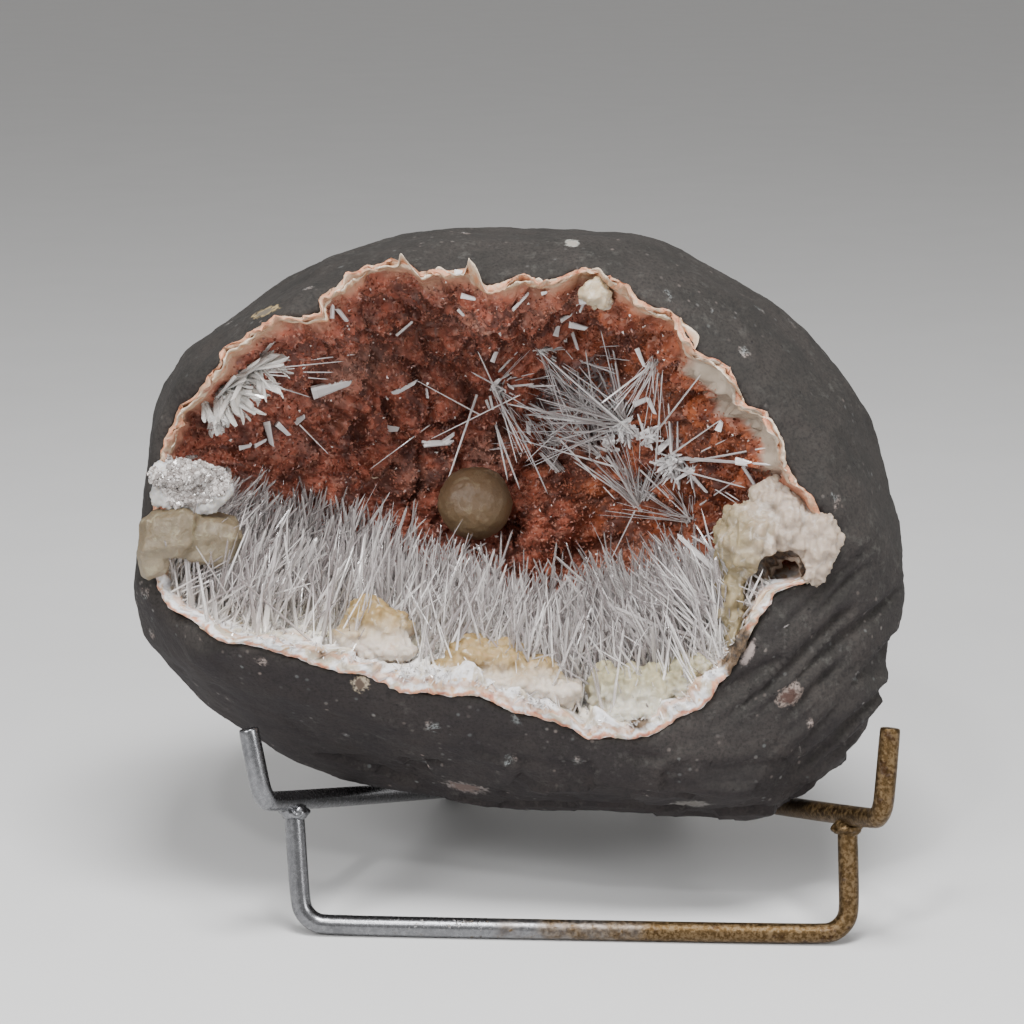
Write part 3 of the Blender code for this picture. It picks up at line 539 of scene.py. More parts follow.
def lining_finish():
    material, shader, place = finish_named("druse", Specular_IOR_Level=0.5)
    inward = attribute(place, "inward")
    floor = attribute(place, "floor")
    grain = place.node("ShaderNodeSeparateColor", out=0, Color=place.cells(1500.0, out=1))
    colour = druse_colour(place)
    colour = (grain.step(0.55, 1.0) * 0.35).mix(colour, (0.55, 0.28, 0.20))
    # Painted shade darkens the creases between the knobs.
    colour = (attribute(place, "crease") * 0.7).mix(colour, (0.045, 0.014, 0.010))
    colour = (attribute(place, "pocket") * 0.85).mix(colour, place.noise(500.0).step(0.35, 0.6).mix(
        (0.09, 0.075, 0.075), (0.30, 0.27, 0.27)))
    cream = place.noise(130.0, 3.0).step(0.35, 0.65).mix((0.76, 0.74, 0.72), (0.58, 0.52, 0.36))
    colour = floor.mix(colour, cream)
    wavy = inward + (place.noise(420.0, 3.0) - 0.5) * 1.6
    brown = (1.0 - wavy.step(1.2, 4.2)) * (1.0 - floor) * place.noise(120.0, 3.0).step(0.30, 0.60)
    colour = (brown * 0.8).mix(colour, (0.40, 0.22, 0.14))
    chalk = (1.0 - wavy.step(1.0, 1.5)).sum("MAXIMUM", floor * (1.0 - wavy.step(4.0, 9.0)))
    tan = place.noise(240.0, 3.0).step(0.4, 0.6).mix((0.52, 0.40, 0.29), (0.34, 0.20, 0.12))
    frost = place.noise(330.0, 4.0, 0.6)
    white = frost.step(0.40, 0.56).mix((0.42, 0.36, 0.28), (0.64, 0.63, 0.64))
    colour = chalk.mix(colour, floor.mix(tan, frost.step(0.60, 0.68).mix(white, (0.50, 0.34, 0.20))))
    chalk = attribute(place, "flap")
    colour = chalk.mix(colour, place.noise(160.0).step(0.35, 0.65).mix((0.40, 0.33, 0.26), (0.27, 0.21, 0.16)))
    streak = place.noise(560.0, 3.0, 0.6)
    layered = (inward * 1.3 + place.noise(150.0, 3.0) * 9.0).sum("SINE", 0.0).step(0.45, 0.95)
    colour = (layered * floor * (1.0 - wavy.step(6.0, 9.0)) * 0.6).mix(colour, streak.step(0.4, 0.6).mix(
        (0.50, 0.30, 0.18), (0.40, 0.17, 0.08)))
    peach = wavy.step(-0.10, 0.25) * (1.0 - wavy.step(0.55, 1.05)) * streak.step(0.34, 0.50)
    colour = (peach * 0.9).mix(colour, streak.step(0.5, 0.7).mix((0.54, 0.24, 0.13), (0.34, 0.09, 0.04)))
    # The gap and pits are painted brown earth, and near black where painted shade fills them.
    soil_and_shade = place.noise(700.0, 4.0, 0.7).step(0.4, 0.6).mix((0.022, 0.014, 0.008), (0.10, 0.06, 0.03))
    colour = attribute(place, "earth_and_shade").mix(colour, soil_and_shade)
    relief = grain * 0.8 + place.noise(2400.0, 3.0, 0.7) * 0.6
    relief = relief * (1.0 - 0.7 * chalk)
    feed(shader, Base_Color=colour, Roughness=0.66 - grain.step(0.8, 0.95) * 0.40,
         Normal=relief.bump(0.6, 0.0004))
    return material


lining_bm = bmesh.new()
bmesh.ops.create_grid(lining_bm, x_segments=LINING_COLUMNS, y_segments=LINING_ROWS, size=0.5)
layers = {name: lining_bm.verts.layers.float.new(name) for name in ("inward", "floor", "crease", "flap", "pocket", "earth_and_shade")}
rims = {}
for vert in lining_bm.verts:
    bearing = (vert.co.x + 0.5) * math.tau
    key = round(vert.co.x, 6)
    if key not in rims:
        rims[key] = rim_at(bearing)
    place, reach = lining_point(bearing, vert.co.y + 0.5, rims[key])
    vert[layers["inward"]] = reach
    vert[layers["floor"]] = floor_share(place)
    bent = place + 2.2 * noise.noise_vector(place * 0.11) + 0.5 * noise.noise_vector(place * 0.5)
    # crease: painted shade, 1 in the creases between the big knobs away from the rim.
    vert[layers["crease"]] = smooth_step(-0.2, -0.95, knobs(bent, 8.5, 0.28)) * smooth_step(2.5, 6.0, reach)
    vert[layers["flap"]] = flap_share(bearing, reach, place)
    vert[layers["pocket"]] = pocket_share(place)
    vert[layers["earth_and_shade"]] = earth_and_shade_share(place)
    vert.co = from_view(*place)
bmesh.ops.remove_doubles(lining_bm, verts=lining_bm.verts, dist=2e-6)
bmesh.ops.recalc_face_normals(lining_bm, faces=lining_bm.faces)
if lining_bm.calc_volume(signed=True) < 0.0:
    bmesh.ops.reverse_faces(lining_bm, faces=lining_bm.faces)
lining_tree = BVHTree.FromBMesh(lining_bm)
lining = piece_from(lining_bm, "hollow_lining")
lining.data.materials.append(lining_finish())
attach(lining, "root")
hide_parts("crystal_crust")


# Torn edge of the rind
# The chalk stands up in a thin curling edge where the stone was broken open.  It is a strip that grew with the
# rind, stands on it along the basalt's edge, and is torn along its own edge.

RIBBON_COLUMNS = 1300
RIBBON_ROWS = 12
RIBBON_THICK = 0.8
RIBBON_FOOT = 1.4
RIBBON_INSET = 0.55
RIBBON_PEAKS = [(404, 1.8, 1.6), (440, 0.7, 1.2), (474, 3.0, 1.9), (540, 0.8, 1.6), (601, 1.0, 2.4), (687, 2.2, 1.6)]
PEAKS_ABOVE = 15.0
RIBBON_SEED = Vector((3.0, 0.0, 3.0))
RIBBON_HEIGHTS = [(0, -1.4), (8, 0.0), (24, 0.9), (40, 0.6), (56, 0.3), (80, 0.6), (105, 0.9), (140, 0.6),
                  (172, 0.2), (186, -2.0), (355, -2.0), (360, -1.4)]


def peak_bend(rim):
    """How far the torn edge bends out over the basalt, at the few peaks along the top."""
    if rim.y < PEAKS_ABOVE:
        return 0.0
    return sum(height * (1.0 - smooth_step(0.1, width, abs(rim.x - pixel_place(x, 0)[0])))
               for x, height, width in RIBBON_PEAKS)


def ribbon_point(bearing, around, rim):
    """A place round the section of the torn layer, and how high up the layer it is, from 0 to 1."""
    outward = Vector((rim.x - EYE.x, rim.y - EYE.y, 0.0)).normalized()
    own = rim + RIBBON_SEED
    wander = max(0.1, RIBBON_INSET + 0.9 * noise.noise(own * 0.20) + 0.3 * noise.noise(own * 0.8))
    torn = 4.2 * noise.noise(own * 0.17) + 0.9 * noise.noise(own * 0.9) + 0.45 * noise.noise(own * 3.1) - 0.4
    proud = 0.8 * rind_proud(rim) + read_table(RIBBON_HEIGHTS, math.degrees(bearing) % 360.0) + torn
    rise = 0.5 + 0.5 * math.sin(around * math.tau)
    curl = 1.1 * noise.noise(own * 0.35 + Vector((0.0, 4.0, 0.0))) * rise * rise
    thick = RIBBON_THICK * (1.0 + 0.9 * noise.noise(own * 0.6)) * (1.3 - 0.7 * rise)
    across = 0.5 * thick * math.cos(around * math.tau) + 0.25 * noise.noise(Vector((own.x, own.y, around * 4.0)))
    depth = -RIBBON_FOOT + (max(-0.7, proud) + RIBBON_FOOT) * rise
    bend = peak_bend(rim) * rise
    return rim + outward * (across + curl - wander + bend) - Vector((0.0, 0.0, depth + 0.3 * bend)), rise


def rind_finish():
    material, shader, place = finish_named("chalk_rind", Specular_IOR_Level=0.3)
    edge = attribute(place, "edge")
    streak = place.noise(520.0, 4.0, 0.65)
    colour = streak.step(0.38, 0.62).mix((0.46, 0.33, 0.22), (0.40, 0.18, 0.09))
    colour = (edge + (streak - 0.5) * 0.8).step(0.70, 1.1).mix(colour, (0.62, 0.53, 0.42))
    relief = place.noise(1800.0, 3.0, 0.7)
    feed(shader, Base_Color=colour, Roughness=0.6 + relief * 0.2, Normal=relief.bump(0.5, 0.0003))
    return material


ribbon_bm = bmesh.new()
edges = ribbon_bm.verts.layers.float.new("edge")
made = bmesh.ops.create_grid(ribbon_bm, x_segments=RIBBON_COLUMNS, y_segments=RIBBON_ROWS, size=0.5)["verts"]
for vert in made:
    bearing = (vert.co.x + 0.5) * math.tau
    key = round(vert.co.x, 6)
    if key not in rims:
        rims[key] = rim_at(bearing)
    place, vert[edges] = ribbon_point(bearing, vert.co.y + 0.5, rims[key])
    vert.co = from_view(*place)
bmesh.ops.remove_doubles(ribbon_bm, verts=ribbon_bm.verts, dist=2e-6)
bmesh.ops.recalc_face_normals(ribbon_bm, faces=ribbon_bm.faces)
ribbons = piece_from(ribbon_bm, "rind_layers")
ribbons.data.materials.append(rind_finish())
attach(ribbons, "root")
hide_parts("crystal_crust")


# Sugar of small crystals
# Thousands of tiny red-brown points cover the wall and catch the light.  They grew on the crust and are joined
# in one mesh that stands on the lining's faces.

GRAINS = 24000
GRAIN_WIDTH = (0.42, 0.85)
# Share of grains painted white as painted glints.
WHITE_GLINT_SHARE = 0.012


def template_mesh(bm, name):
    """A crystal's shape kept as a mesh, with an attribute for its height and one for its own tone."""
    height = bm.verts.layers.float.new("height")
    bm.verts.layers.float.new("tone")
    for vert in bm.verts:
        vert[height] = vert.co.z
    mesh = bpy.data.meshes.new(name)
    bm.to_mesh(mesh)
    bm.free()
    return mesh


def planted(template, places):
    """One mesh of many crystals, made of copies of a template: a place is a matrix and a tone from 0 to 1."""
    shape = np.ones((len(template.vertices), 4))
    for row, vertex in zip(shape, template.vertices):
        row[:3] = vertex.co
    bm = bmesh.new()
    for matrix, tone in places:
        template.vertices.foreach_set("co", (shape @ np.array(matrix).T)[:, :3].ravel())
        template.attributes["tone"].data.foreach_set("value", [tone] * len(shape))
        bm.from_mesh(template)
    bpy.data.meshes.remove(template)
    return bm


def standing(place, way, spin, width, depth, length):
    """The matrix that stands a unit crystal at a place, along a way, with its own width, depth and length."""
    turn = way.to_track_quat("Z", "Y").to_matrix().to_4x4() @ Matrix.Rotation(spin, 4, "Z")
    return Matrix.Translation(place) @ turn @ Matrix.Diagonal((width, depth, length, 1.0))


def random_way(chance):
    """A direction evenly spread over all directions."""
    way = Vector((chance.gauss(0.0, 1.0), chance.gauss(0.0, 1.0), chance.gauss(0.0, 1.0)))
    return way.normalized() if way.length > 1e-6 else Vector((0.0, 0.0, 1.0))


def grain_finish():
    material, shader, place = finish_named("sugar", Specular_IOR_Level=0.7)
    tone = attribute(place, "tone")
    colour = druse_colour(place)
    colour = ((tone - 0.5).sum("ABSOLUTE", 0.0) * 1.1).mix(colour, tone.step(0.35, 0.65).mix(
        (0.06, 0.014, 0.010), (0.60, 0.30, 0.21)))
    # Painted glints: the few grains of tone 1 are painted near white.
    white = tone.step(0.99, 0.995)
    colour = white.mix(colour, (0.92, 0.86, 0.82))
    speck = place.noise(5200.0, 2.0)
    feed(shader, Base_Color=colour, Roughness=0.42 - tone.step(0.8, 1.0) * 0.26, Normal=speck.bump(0.2, 0.0001))
    return material


grain_bm = bmesh.new()
bmesh.ops.create_cone(grain_bm, segments=4, radius1=0.5, radius2=0.0, depth=1.0, cap_ends=True)
bmesh.ops.translate(grain_bm, verts=grain_bm.verts, vec=(0.0, 0.0, 0.2))
chance = random.Random(7)
attributes = lining.data.attributes
shares = []
for polygon in lining.data.polygons:
    first = polygon.vertices[0]
    bare = 1.0 - attributes["floor"].data[first].value
    reach = attributes["inward"].data[first].value
    flap = attributes["flap"].data[first].value
    shares.append(polygon.area * bare * smooth_step(1.8, 3.2, reach) * (1.0 - flap))
picked = chance.choices(range(len(shares)), weights=shares, k=GRAINS)
grain_places = []
for index in picked:
    polygon = lining.data.polygons[index]
    corner = lining.data.vertices[polygon.vertices[chance.randrange(len(polygon.vertices))]].co
    place = polygon.center.lerp(corner, chance.random())
    way = (polygon.normal + 0.45 * random_way(chance)).normalized()
    width = chance.uniform(*GRAIN_WIDTH) * MM
    tone = 1.0 if chance.random() < WHITE_GLINT_SHARE else chance.uniform(0.0, 0.98)
    grain_places.append((standing(place, way, chance.uniform(0.0, math.tau), width,
                                  width * chance.uniform(0.6, 1.0), width * chance.uniform(0.6, 1.1)), tone))
sugar = piece_from(planted(template_mesh(grain_bm, "grain"), grain_places), "sugar_crystals", smooth=False)
sugar.data.materials.append(grain_finish())
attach(sugar, "root")
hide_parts("crystal_crust")


# Calcite lumps
# Waxy yellow and white calcite: a ball at the back, a cleaved block at the left rim, a knobbly lump with a hole
# at the right rim, domes along the front and one filling at the top.  Each grew on the crust.

LUMP_GRAIN = 0.36
HOLE_DEPTH = 3.4
BALL = ((-6.5, 1.6, 41.5), (6.6, 6.5, 6.0))
RIGHT_LUMP = [((39.4, -5.0, 4.5), (6.4, 7.0, 6.6)), ((45.6, -2.6, 2.6), (5.4, 5.2, 4.4)),
              ((50.6, -4.8, 1.2), (3.4, 4.4, 3.0)), ((43.5, 1.6, 3.6), (4.4, 4.0, 4.0)),
              ((36.2, -13.0, 5.0), (3.0, 6.4, 4.4)), ((48.8, -9.4, 1.4), (2.8, 3.2, 2.6)),
              ((36.6, -19.4, 3.4), (1.9, 4.6, 3.0))]
RIGHT_HOLES = [((43.8, -9.6, 0.0), (3.6, 2.8, 5.5)), ((40.8, -14.0, 0.0), (2.6, 4.0, 5.0))]
FRONT_LUMPS = [
    [((-23.5, -17.6, 7.0), (4.4, 3.8, 4.4)), ((-20.0, -19.4, 6.6), (3.6, 3.4, 4.0)),
     ((-25.6, -20.8, 5.4), (4.6, 3.0, 4.0)), ((-20.6, -22.6, 4.4), (5.0, 2.6, 3.6))],
    [((-6.2, -23.6, 5.2), (4.6, 3.6, 4.4)), ((-1.4, -24.8, 5.2), (4.4, 3.8, 4.4)),
     ((3.8, -26.8, 5.0), (4.8, 3.6, 4.4)), ((8.4, -29.6, 4.0), (3.4, 2.8, 3.6)),
     ((-9.4, -26.4, 4.0), (4.4, 2.8, 3.6)), ((-1.0, -28.6, 2.6), (8.8, 2.6, 3.4))],
    [((15.6, -29.0, 5.0), (3.4, 4.4, 3.8)), ((19.6, -29.6, 5.0), (3.4, 4.6, 3.8)),
     ((23.6, -29.2, 5.0), (3.6, 4.8, 3.8)), ((28.0, -27.6, 4.6), (3.4, 4.4, 3.6)),
     ((21.0, -33.4, 2.6), (7.6, 2.2, 2.8)), ((31.4, -25.4, 3.6), (2.4, 3.0, 3.0))],
    [((-54.6, 6.4, 4.4), (5.4, 2.4, 1.6)), ((-50.4, 4.4, 7.4), (4.8, 3.6, 1.5)), ((-55.8, 2.8, 6.0), (4.0, 2.6, 1.4)),
     ((-51.4, 1.2, 7.6), (3.6, 2.0, 1.4))],
]
TOP_FILLING = [((13.4, 36.0, 2.6), (2.8, 2.2, 2.4)), ((14.6, 34.6, 3.0), (2.2, 1.8, 2.2))]
LEFT_BLOCKS = [((-56.4, -3.6, 8.0), (9.6, 8.2, 9.0), (10.0, 14.0, 6.0)),
               ((-50.2, -4.4, 10.0), (9.0, 8.0, 8.0), (-14.0, -16.0, -14.0)),
               ((-59.2, -7.2, 8.6), (5.4, 6.0, 7.0), (-12.0, 10.0, 24.0))]
BLOCK_BEVEL = 0.20


def calcite_finish(name, top, foot, clear, spots=(0.24, 0.15, 0.06), veins=(0.56, 0.52, 0.45)):
    """Waxy calcite, one colour on its crown and another at its foot, with white veins and a frosted skin."""
    material, shader, place = finish_named(
        name, Subsurface_Weight=0.35, Subsurface_Scale=0.0025, Transmission_Weight=clear, IOR=1.55,
        Specular_IOR_Level=0.35)
    shader.inputs["Subsurface Radius"].default_value = (1.0, 0.75, 0.45)
    rise = attribute(place, "crown")
    cloud = place.noise(190.0, 4.0, 0.6, 0.6)
    vein = place.noise(420.0, 4.0, 0.65, 1.2)
    skin = place.noise(1500.0, 3.0, 0.65)
    colour = (rise + (cloud - 0.5) * 0.9).step(0.15, 0.75).mix(foot, top)
    colour = (vein.step(0.54, 0.68) * 0.6).mix(colour, veins)
    colour = (vein.step(0.30, 0.42) * -0.35 + 0.35).mix(colour, spots)
    # Painted shade: the pressed-in holes are painted near black inside.
    hole = (attribute(place, "hole") + (skin - 0.5) * 0.7).step(0.25, 0.6)
    colour = hole.mix(colour, skin.step(0.4, 0.6).mix((0.014, 0.008, 0.005), (0.062, 0.034, 0.016)))
    relief = skin + vein * 0.8
    feed(shader, Base_Color=colour, Roughness=0.36 + skin * 0.3, Normal=relief.bump(0.5, 0.0003))
    return material


def crowned(piece, along=(0.0, 1.0, 0.0)):
    """An attribute on the piece that runs from 0 at one end to 1 at the other, along a way in the view frame."""
    layer = piece.data.attributes.new("crown", "FLOAT", "POINT")
    reach = [to_view(vertex.co).dot(Vector(along)) for vertex in piece.data.vertices]
    layer.data.foreach_set("value", [smooth_step(min(reach), max(reach), value) for value in reach])


def grown_lump(name, knobs_at, finish, holes=(), rough=0.35, fibre=0.0, along=(0.0, 1.0, 0.0), crust=0.0):
    """A lump of rounded knobs melted into one body, with holes pressed in and a knobbly skin."""
    bm = bmesh.new()
    for centre, radii in knobs_at:
        made = bmesh.ops.create_icosphere(bm, subdivisions=3, radius=1.0)
        bmesh.ops.scale(bm, verts=made["verts"], vec=radii)
        bmesh.ops.translate(bm, verts=made["verts"], vec=centre)
    piece = piece_from(seated(bm), name)
    even = piece.modifiers.new("one_body", "REMESH")
    even.mode = "VOXEL"
    even.voxel_size = LUMP_GRAIN * MM
    soften = piece.modifiers.new("soften", "SMOOTH")
    soften.factor = 0.5
    soften.iterations = 6
    settled(piece)
    normals = [vertex.normal.copy() for vertex in piece.data.vertices]
    # 1 deep in each pressed-in hole, where the finish paints painted shade.
    hole_shade = []
    for vertex, normal in zip(piece.data.vertices, normals):
        place = to_view(vertex.co)
        hole_shade.append(0.0)
        bump = rough * (noise.fractal(place * 0.32, 1.0, 2.0, 4) + 0.25 * knobs(place, 2.6, 0.4))
        bump += crust * (0.5 * knobs(place, 1.5, 0.4) + 0.6 * noise.noise(place * 1.4))
        bump += fibre * noise.noise(Vector((place.x * 1.7, place.y * 0.25, place.z * 0.6)))
        for centre, radii in holes:
            reach = Vector((a - b) / c for a, b, c in zip(place, centre, radii)).length
            bump -= HOLE_DEPTH * (1.0 - smooth_step(0.45, 1.2, reach))
            hole_shade[-1] = max(hole_shade[-1], 1.0 - smooth_step(0.7, 1.25, reach))
        vertex.co += normal * (bump * MM)
    piece.data.attributes.new("hole", "FLOAT", "POINT").data.foreach_set("value", hole_shade)
    crowned(piece, along)
    for polygon in piece.data.polygons:
        polygon.use_smooth = True
    piece.data.materials.append(finish)
    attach(piece, "root")
    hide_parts("crystal_crust")
    return piece


# The honey ball is painted darker on its crown and lighter at its foot, as painted shade on top and painted light
# below.
honey = calcite_finish("honey_calcite", (0.150, 0.092, 0.048), (0.190, 0.125, 0.066), 0.25, (0.12, 0.07, 0.028),
                       (0.25, 0.19, 0.115))
cream = calcite_finish("cream_calcite", (0.30, 0.205, 0.085), (0.54, 0.47, 0.40), 0.15, (0.40, 0.19, 0.09))
white = calcite_finish("white_calcite", (0.62, 0.60, 0.58), (0.50, 0.48, 0.46), 0.30, (0.42, 0.36, 0.30))
milky = calcite_finish("milky_calcite", (0.44, 0.39, 0.24), (0.62, 0.58, 0.48), 0.35)
grown_lump("calcite_ball", [BALL], honey, rough=0.22)
grown_lump("calcite_right_lump", RIGHT_LUMP, calcite_finish(
    "streaked_calcite", (0.36, 0.285, 0.225), (0.225, 0.178, 0.096), 0.15, (0.17, 0.105, 0.038), (0.52, 0.47, 0.42)),
    RIGHT_HOLES, 0.95, 0.45, (1.0, 0.45, 0.0), 0.22)
for number, (knobs_at, finish) in enumerate(zip(FRONT_LUMPS, (cream, cream, milky, white))):
    grown_lump(f"calcite_front_{number}", knobs_at, finish, rough=0.75, fibre=0.35 if finish is milky else 0.0,
                crust=0.30)
grown_lump("calcite_top_filling", TOP_FILLING, calcite_finish(
    "pale_calcite", (0.38, 0.30, 0.19), (0.42, 0.34, 0.24), 0.1, (0.44, 0.20, 0.10)), rough=0.8, crust=0.25)

block_bm = bmesh.new()
for centre, size, turn in LEFT_BLOCKS:
    made = bmesh.ops.create_cube(block_bm, size=1.0)
    corners = list({edge for vert in made["verts"] for edge in vert.link_edges})
    cut = bmesh.ops.bevel(block_bm, geom=corners, offset=BLOCK_BEVEL, segments=1, profile=0.5, affect="EDGES",
                          material=-1)
    skew = Matrix(((1.0, 0.18, 0.0), (0.0, 1.0, 0.12), (0.0, 0.0, 1.0))).to_4x4()
    turned = [Matrix.Rotation(math.radians(angle), 4, axis) for angle, axis in zip(turn, "XYZ")]
    matrix = Matrix.Translation(centre) @ turned[2] @ turned[1] @ turned[0] @ skew @ Matrix.Diagonal((*size, 1.0))
    bmesh.ops.transform(block_bm, matrix=matrix, verts=cut["verts"])
blocks = piece_from(seated(block_bm), "calcite_left_block", smooth=False)
even = blocks.modifiers.new("one_body", "REMESH")
even.mode = "VOXEL"
even.voxel_size = LUMP_GRAIN * MM
soften = blocks.modifiers.new("soften", "SMOOTH")
soften.factor = 0.5
soften.iterations = 2
settled(blocks)
normals = [vertex.normal.copy() for vertex in blocks.data.vertices]
for vertex, normal in zip(blocks.data.vertices, normals):
    place = to_view(vertex.co)
    steps = noise.noise(Vector((place.x * 0.25, place.y * 1.1, place.z * 0.25)))
    vertex.co += normal * ((0.10 * steps + 0.24 * noise.fractal(place * 0.4, 1.0, 2.0, 3)) * MM)
crowned(blocks)
blocks.data.materials.append(calcite_finish("block_calcite", (0.195, 0.148, 0.088), (0.28, 0.225, 0.150), 0.45, (0.16, 0.115, 0.04), (0.42, 0.37, 0.24)))
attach(blocks, "root")
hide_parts("crystal_crust")
ground_bm = bmesh.new()
for piece in [lining] + [item for item in bpy.data.objects if item.name.startswith("calcite_")]:
    ground_bm.from_mesh(piece.data)
ground_tree = BVHTree.FromBMesh(ground_bm)
ground_bm.free()


# Meadow of scolecite needles
# Thousands of prisms that taper to a point stand on the floor of the hollow, crossing each other like grass.
# Some are milky and some are clear.  They grew out of the crust, upright at the left and fanning out at the right.

MEADOW_NEEDLES = 2400
LONGEST_NEEDLE = 20.0
FRONT_MOST = 0.5
LEFT_MOST = -57.5
TIP_LINE = [(-62, -5.0), (-56, -1.0), (-50, 4.5), (-45, 6.5), (-38, 5.5), (-30, 4.0), (-20, 1.0), (-12, -2.0),
            (-5, -5.0), (2, -9.0), (8, -9.5), (14, -6.0), (20, -2.5), (27, -2.5), (33, -4.5), (38, -9.0),
            (44, -16.0)]
LEAN_LINE = [(-62, 30.0), (-50, 16.0), (-35, 10.0), (-15, 6.0), (5, 0.0), (20, -6.0), (32, -12.0), (42, -20.0)]
SPREAD_LINE = [(-62, 24.0), (-40, 19.0), (-10, 18.0), (8, 20.0), (25, 25.0), (40, 26.0)]
BARE_LINE = [(-62, 1.5), (-50, 2.5), (-38, 5.5), (-22, 7.0), (-5, 7.5), (12, 5.5), (24, 5.0), (34, 2.5), (44, 1.5)]


def on_lining(u, v, tree=lining_tree):
    """The place and the outward way of the lining where a sight line through the rim plane meets it."""
    start = from_view(0.0, 0.0, -EYE_DISTANCE)
    hit, normal, _, _ = tree.ray_cast(start, (from_view(u, v, 0.0) - start).normalized())
    if hit is None:
        return None, None
    if normal.dot(hit - start) > 0.0:
        normal = -normal
    return to_view(hit), Vector((normal.dot(ACROSS), normal.dot(UP), normal.dot(INWARD)))


def prism_template(name, taper, lean, point):
    """A square prism one unit long that tapers to a slanted point."""
    bm = bmesh.new()
    bmesh.ops.create_cone(bm, segments=4, radius1=0.5, radius2=0.5 * taper, depth=1.0, cap_ends=True)
    bmesh.ops.translate(bm, verts=bm.verts, vec=(0.0, 0.0, 0.5))
    top = [face for face in bm.faces if face.normal.z > 0.9]
    for vert in top[0].verts:
        vert.co.z = 1.0 - point
    tip = bmesh.ops.poke(bm, faces=top)["verts"][0]
    tip.co = (lean, 0.0, 1.0)
    return template_mesh(bm, name)


def needle_finish(name, milk, clear, dim=(0.52, 0.48, 0.47), bright=(1.0, 0.98, 0.96), fade=0.0):
    """Scolecite: a milky foot and a glassy shaft, each crystal with a tone of its own."""
    material, shader, place = finish_named(name, Transmission_Weight=clear, IOR=1.51, Specular_IOR_Level=1.0)
    height = attribute(place, "height")
    tone = attribute(place, "tone")
    cloud = place.noise(900.0, 3.0, 0.6)
    colour = (tone ** 1.3).mix(dim, bright)
    colour = ((1.0 - height.step(0.0, 0.5)) * milk).mix(colour, (0.92, 0.88, 0.82))
    colour = (cloud.step(0.55, 0.8) * 0.4 + height.step(0.45, 1.0) * fade).mix(colour, dim)
    feed(shader, Base_Color=colour, Roughness=0.05 + (1.0 - height.step(0.0, 0.4)) * 0.22 + tone * 0.05)
    return material


def rim_distance(place):
    """How far inside the basalt's edge a place is, seen from the front."""
    rim = rim_at(math.atan2(place.y - EYE.y, place.x - EYE.x) % math.tau)
    return math.hypot(place.x - rim.x, place.y - rim.y)


def meadow_places(chance, count, widths, longer):
    """Places of needles on the floor: widths are the thinnest and the thickest, longer shifts their tips."""
    places = []
    while len(places) < count:
        root, normal = on_lining(chance.uniform(-61.0, 43.0), chance.uniform(-40.0, 4.0))
        if root is None or floor_share(root) < 0.2 or root.z < -1.0:
            continue
        if rim_distance(root) < read_table(BARE_LINE, root.x) * chance.uniform(0.55, 1.15):
            continue
        spread = read_table(SPREAD_LINE, root.x) * (2.1 if chance.random() < 0.22 else 0.85)
        lean = math.radians(read_table(LEAN_LINE, root.x) + chance.gauss(0.0, 1.0) * spread)
        toward = math.radians(chance.gauss(9.0, 19.0))
        way = Vector((math.sin(lean), math.cos(lean) * math.cos(toward), -math.sin(toward)))
        way = (way + 0.15 * normal).normalized()
        if way.y < 0.2:
            continue
        tip = read_table(TIP_LINE, root.x + way.x * 8.0) + chance.gauss(longer, 2.3)
        if chance.random() < 0.06:
            tip += chance.uniform(1.5, 6.0)
        length = min((tip - root.y) / way.y, LONGEST_NEEDLE * chance.uniform(0.6, 1.0))
        share = chance.random()
        length *= 0.40 + 0.60 * share ** 0.6
        if way.z < 0.0:
            length = min(length, (FRONT_MOST - root.z) / way.z)
        if length < 2.0 or root.x + way.x * length < LEFT_MOST:
            continue
        thin, thick = widths
        width = (thin + (thick - thin) * (0.45 * share + 0.55 * chance.random() ** 2.0))
        if chance.random() < 0.13:
            width *= 1.8
        root = root - way * 0.8
        places.append((standing(root, way, chance.uniform(0.0, math.tau), width, width * chance.uniform(0.4, 1.0),
                                length + 0.8), chance.random()))
    return places


def needle_piece(name, shape, places, finish):
    """One piece of many crystals of one shape and finish."""
    piece = piece_from(seated(planted(shape, places)), name, smooth=False)
    piece.data.materials.append(finish)
    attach(piece, "root")
    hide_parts("crystal_crust")
    return piece


chance = random.Random(21)
clear_scolecite = needle_finish("clear_scolecite", 0.5, 0.62, (0.40, 0.355, 0.35), (1.0, 0.97, 0.95), 0.25)
milky_scolecite = needle_finish("milky_scolecite", 0.8, 0.12, (0.27, 0.23, 0.23), (0.93, 0.90, 0.88), 0.15)
needle_piece("meadow_needles_clear", prism_template("needle", 0.55, 0.1, 0.04),
             meadow_places(chance, MEADOW_NEEDLES, (0.26, 0.86), -0.4), clear_scolecite)
needle_piece("meadow_needles_milky", prism_template("needle", 0.28, 0.1, 0.10),
             meadow_places(chance, MEADOW_NEEDLES, (0.22, 0.68), -1.6), milky_scolecite)


# Druse on the left rim and stubs on the front crust
# Small blocky crystals sparkle above the block at the left rim, and short broken needles and white points
# stand on the cream crust between the meadow and the basalt's edge.  They are of the same crystal.

STUBS = 1600
PATCH_BLOCKS = 1900
PATCH_PLACE = (-53.2, 4.8)
PATCH_SIZE = (7.2, 4.4)
BLOCK_EDGE = -47.0


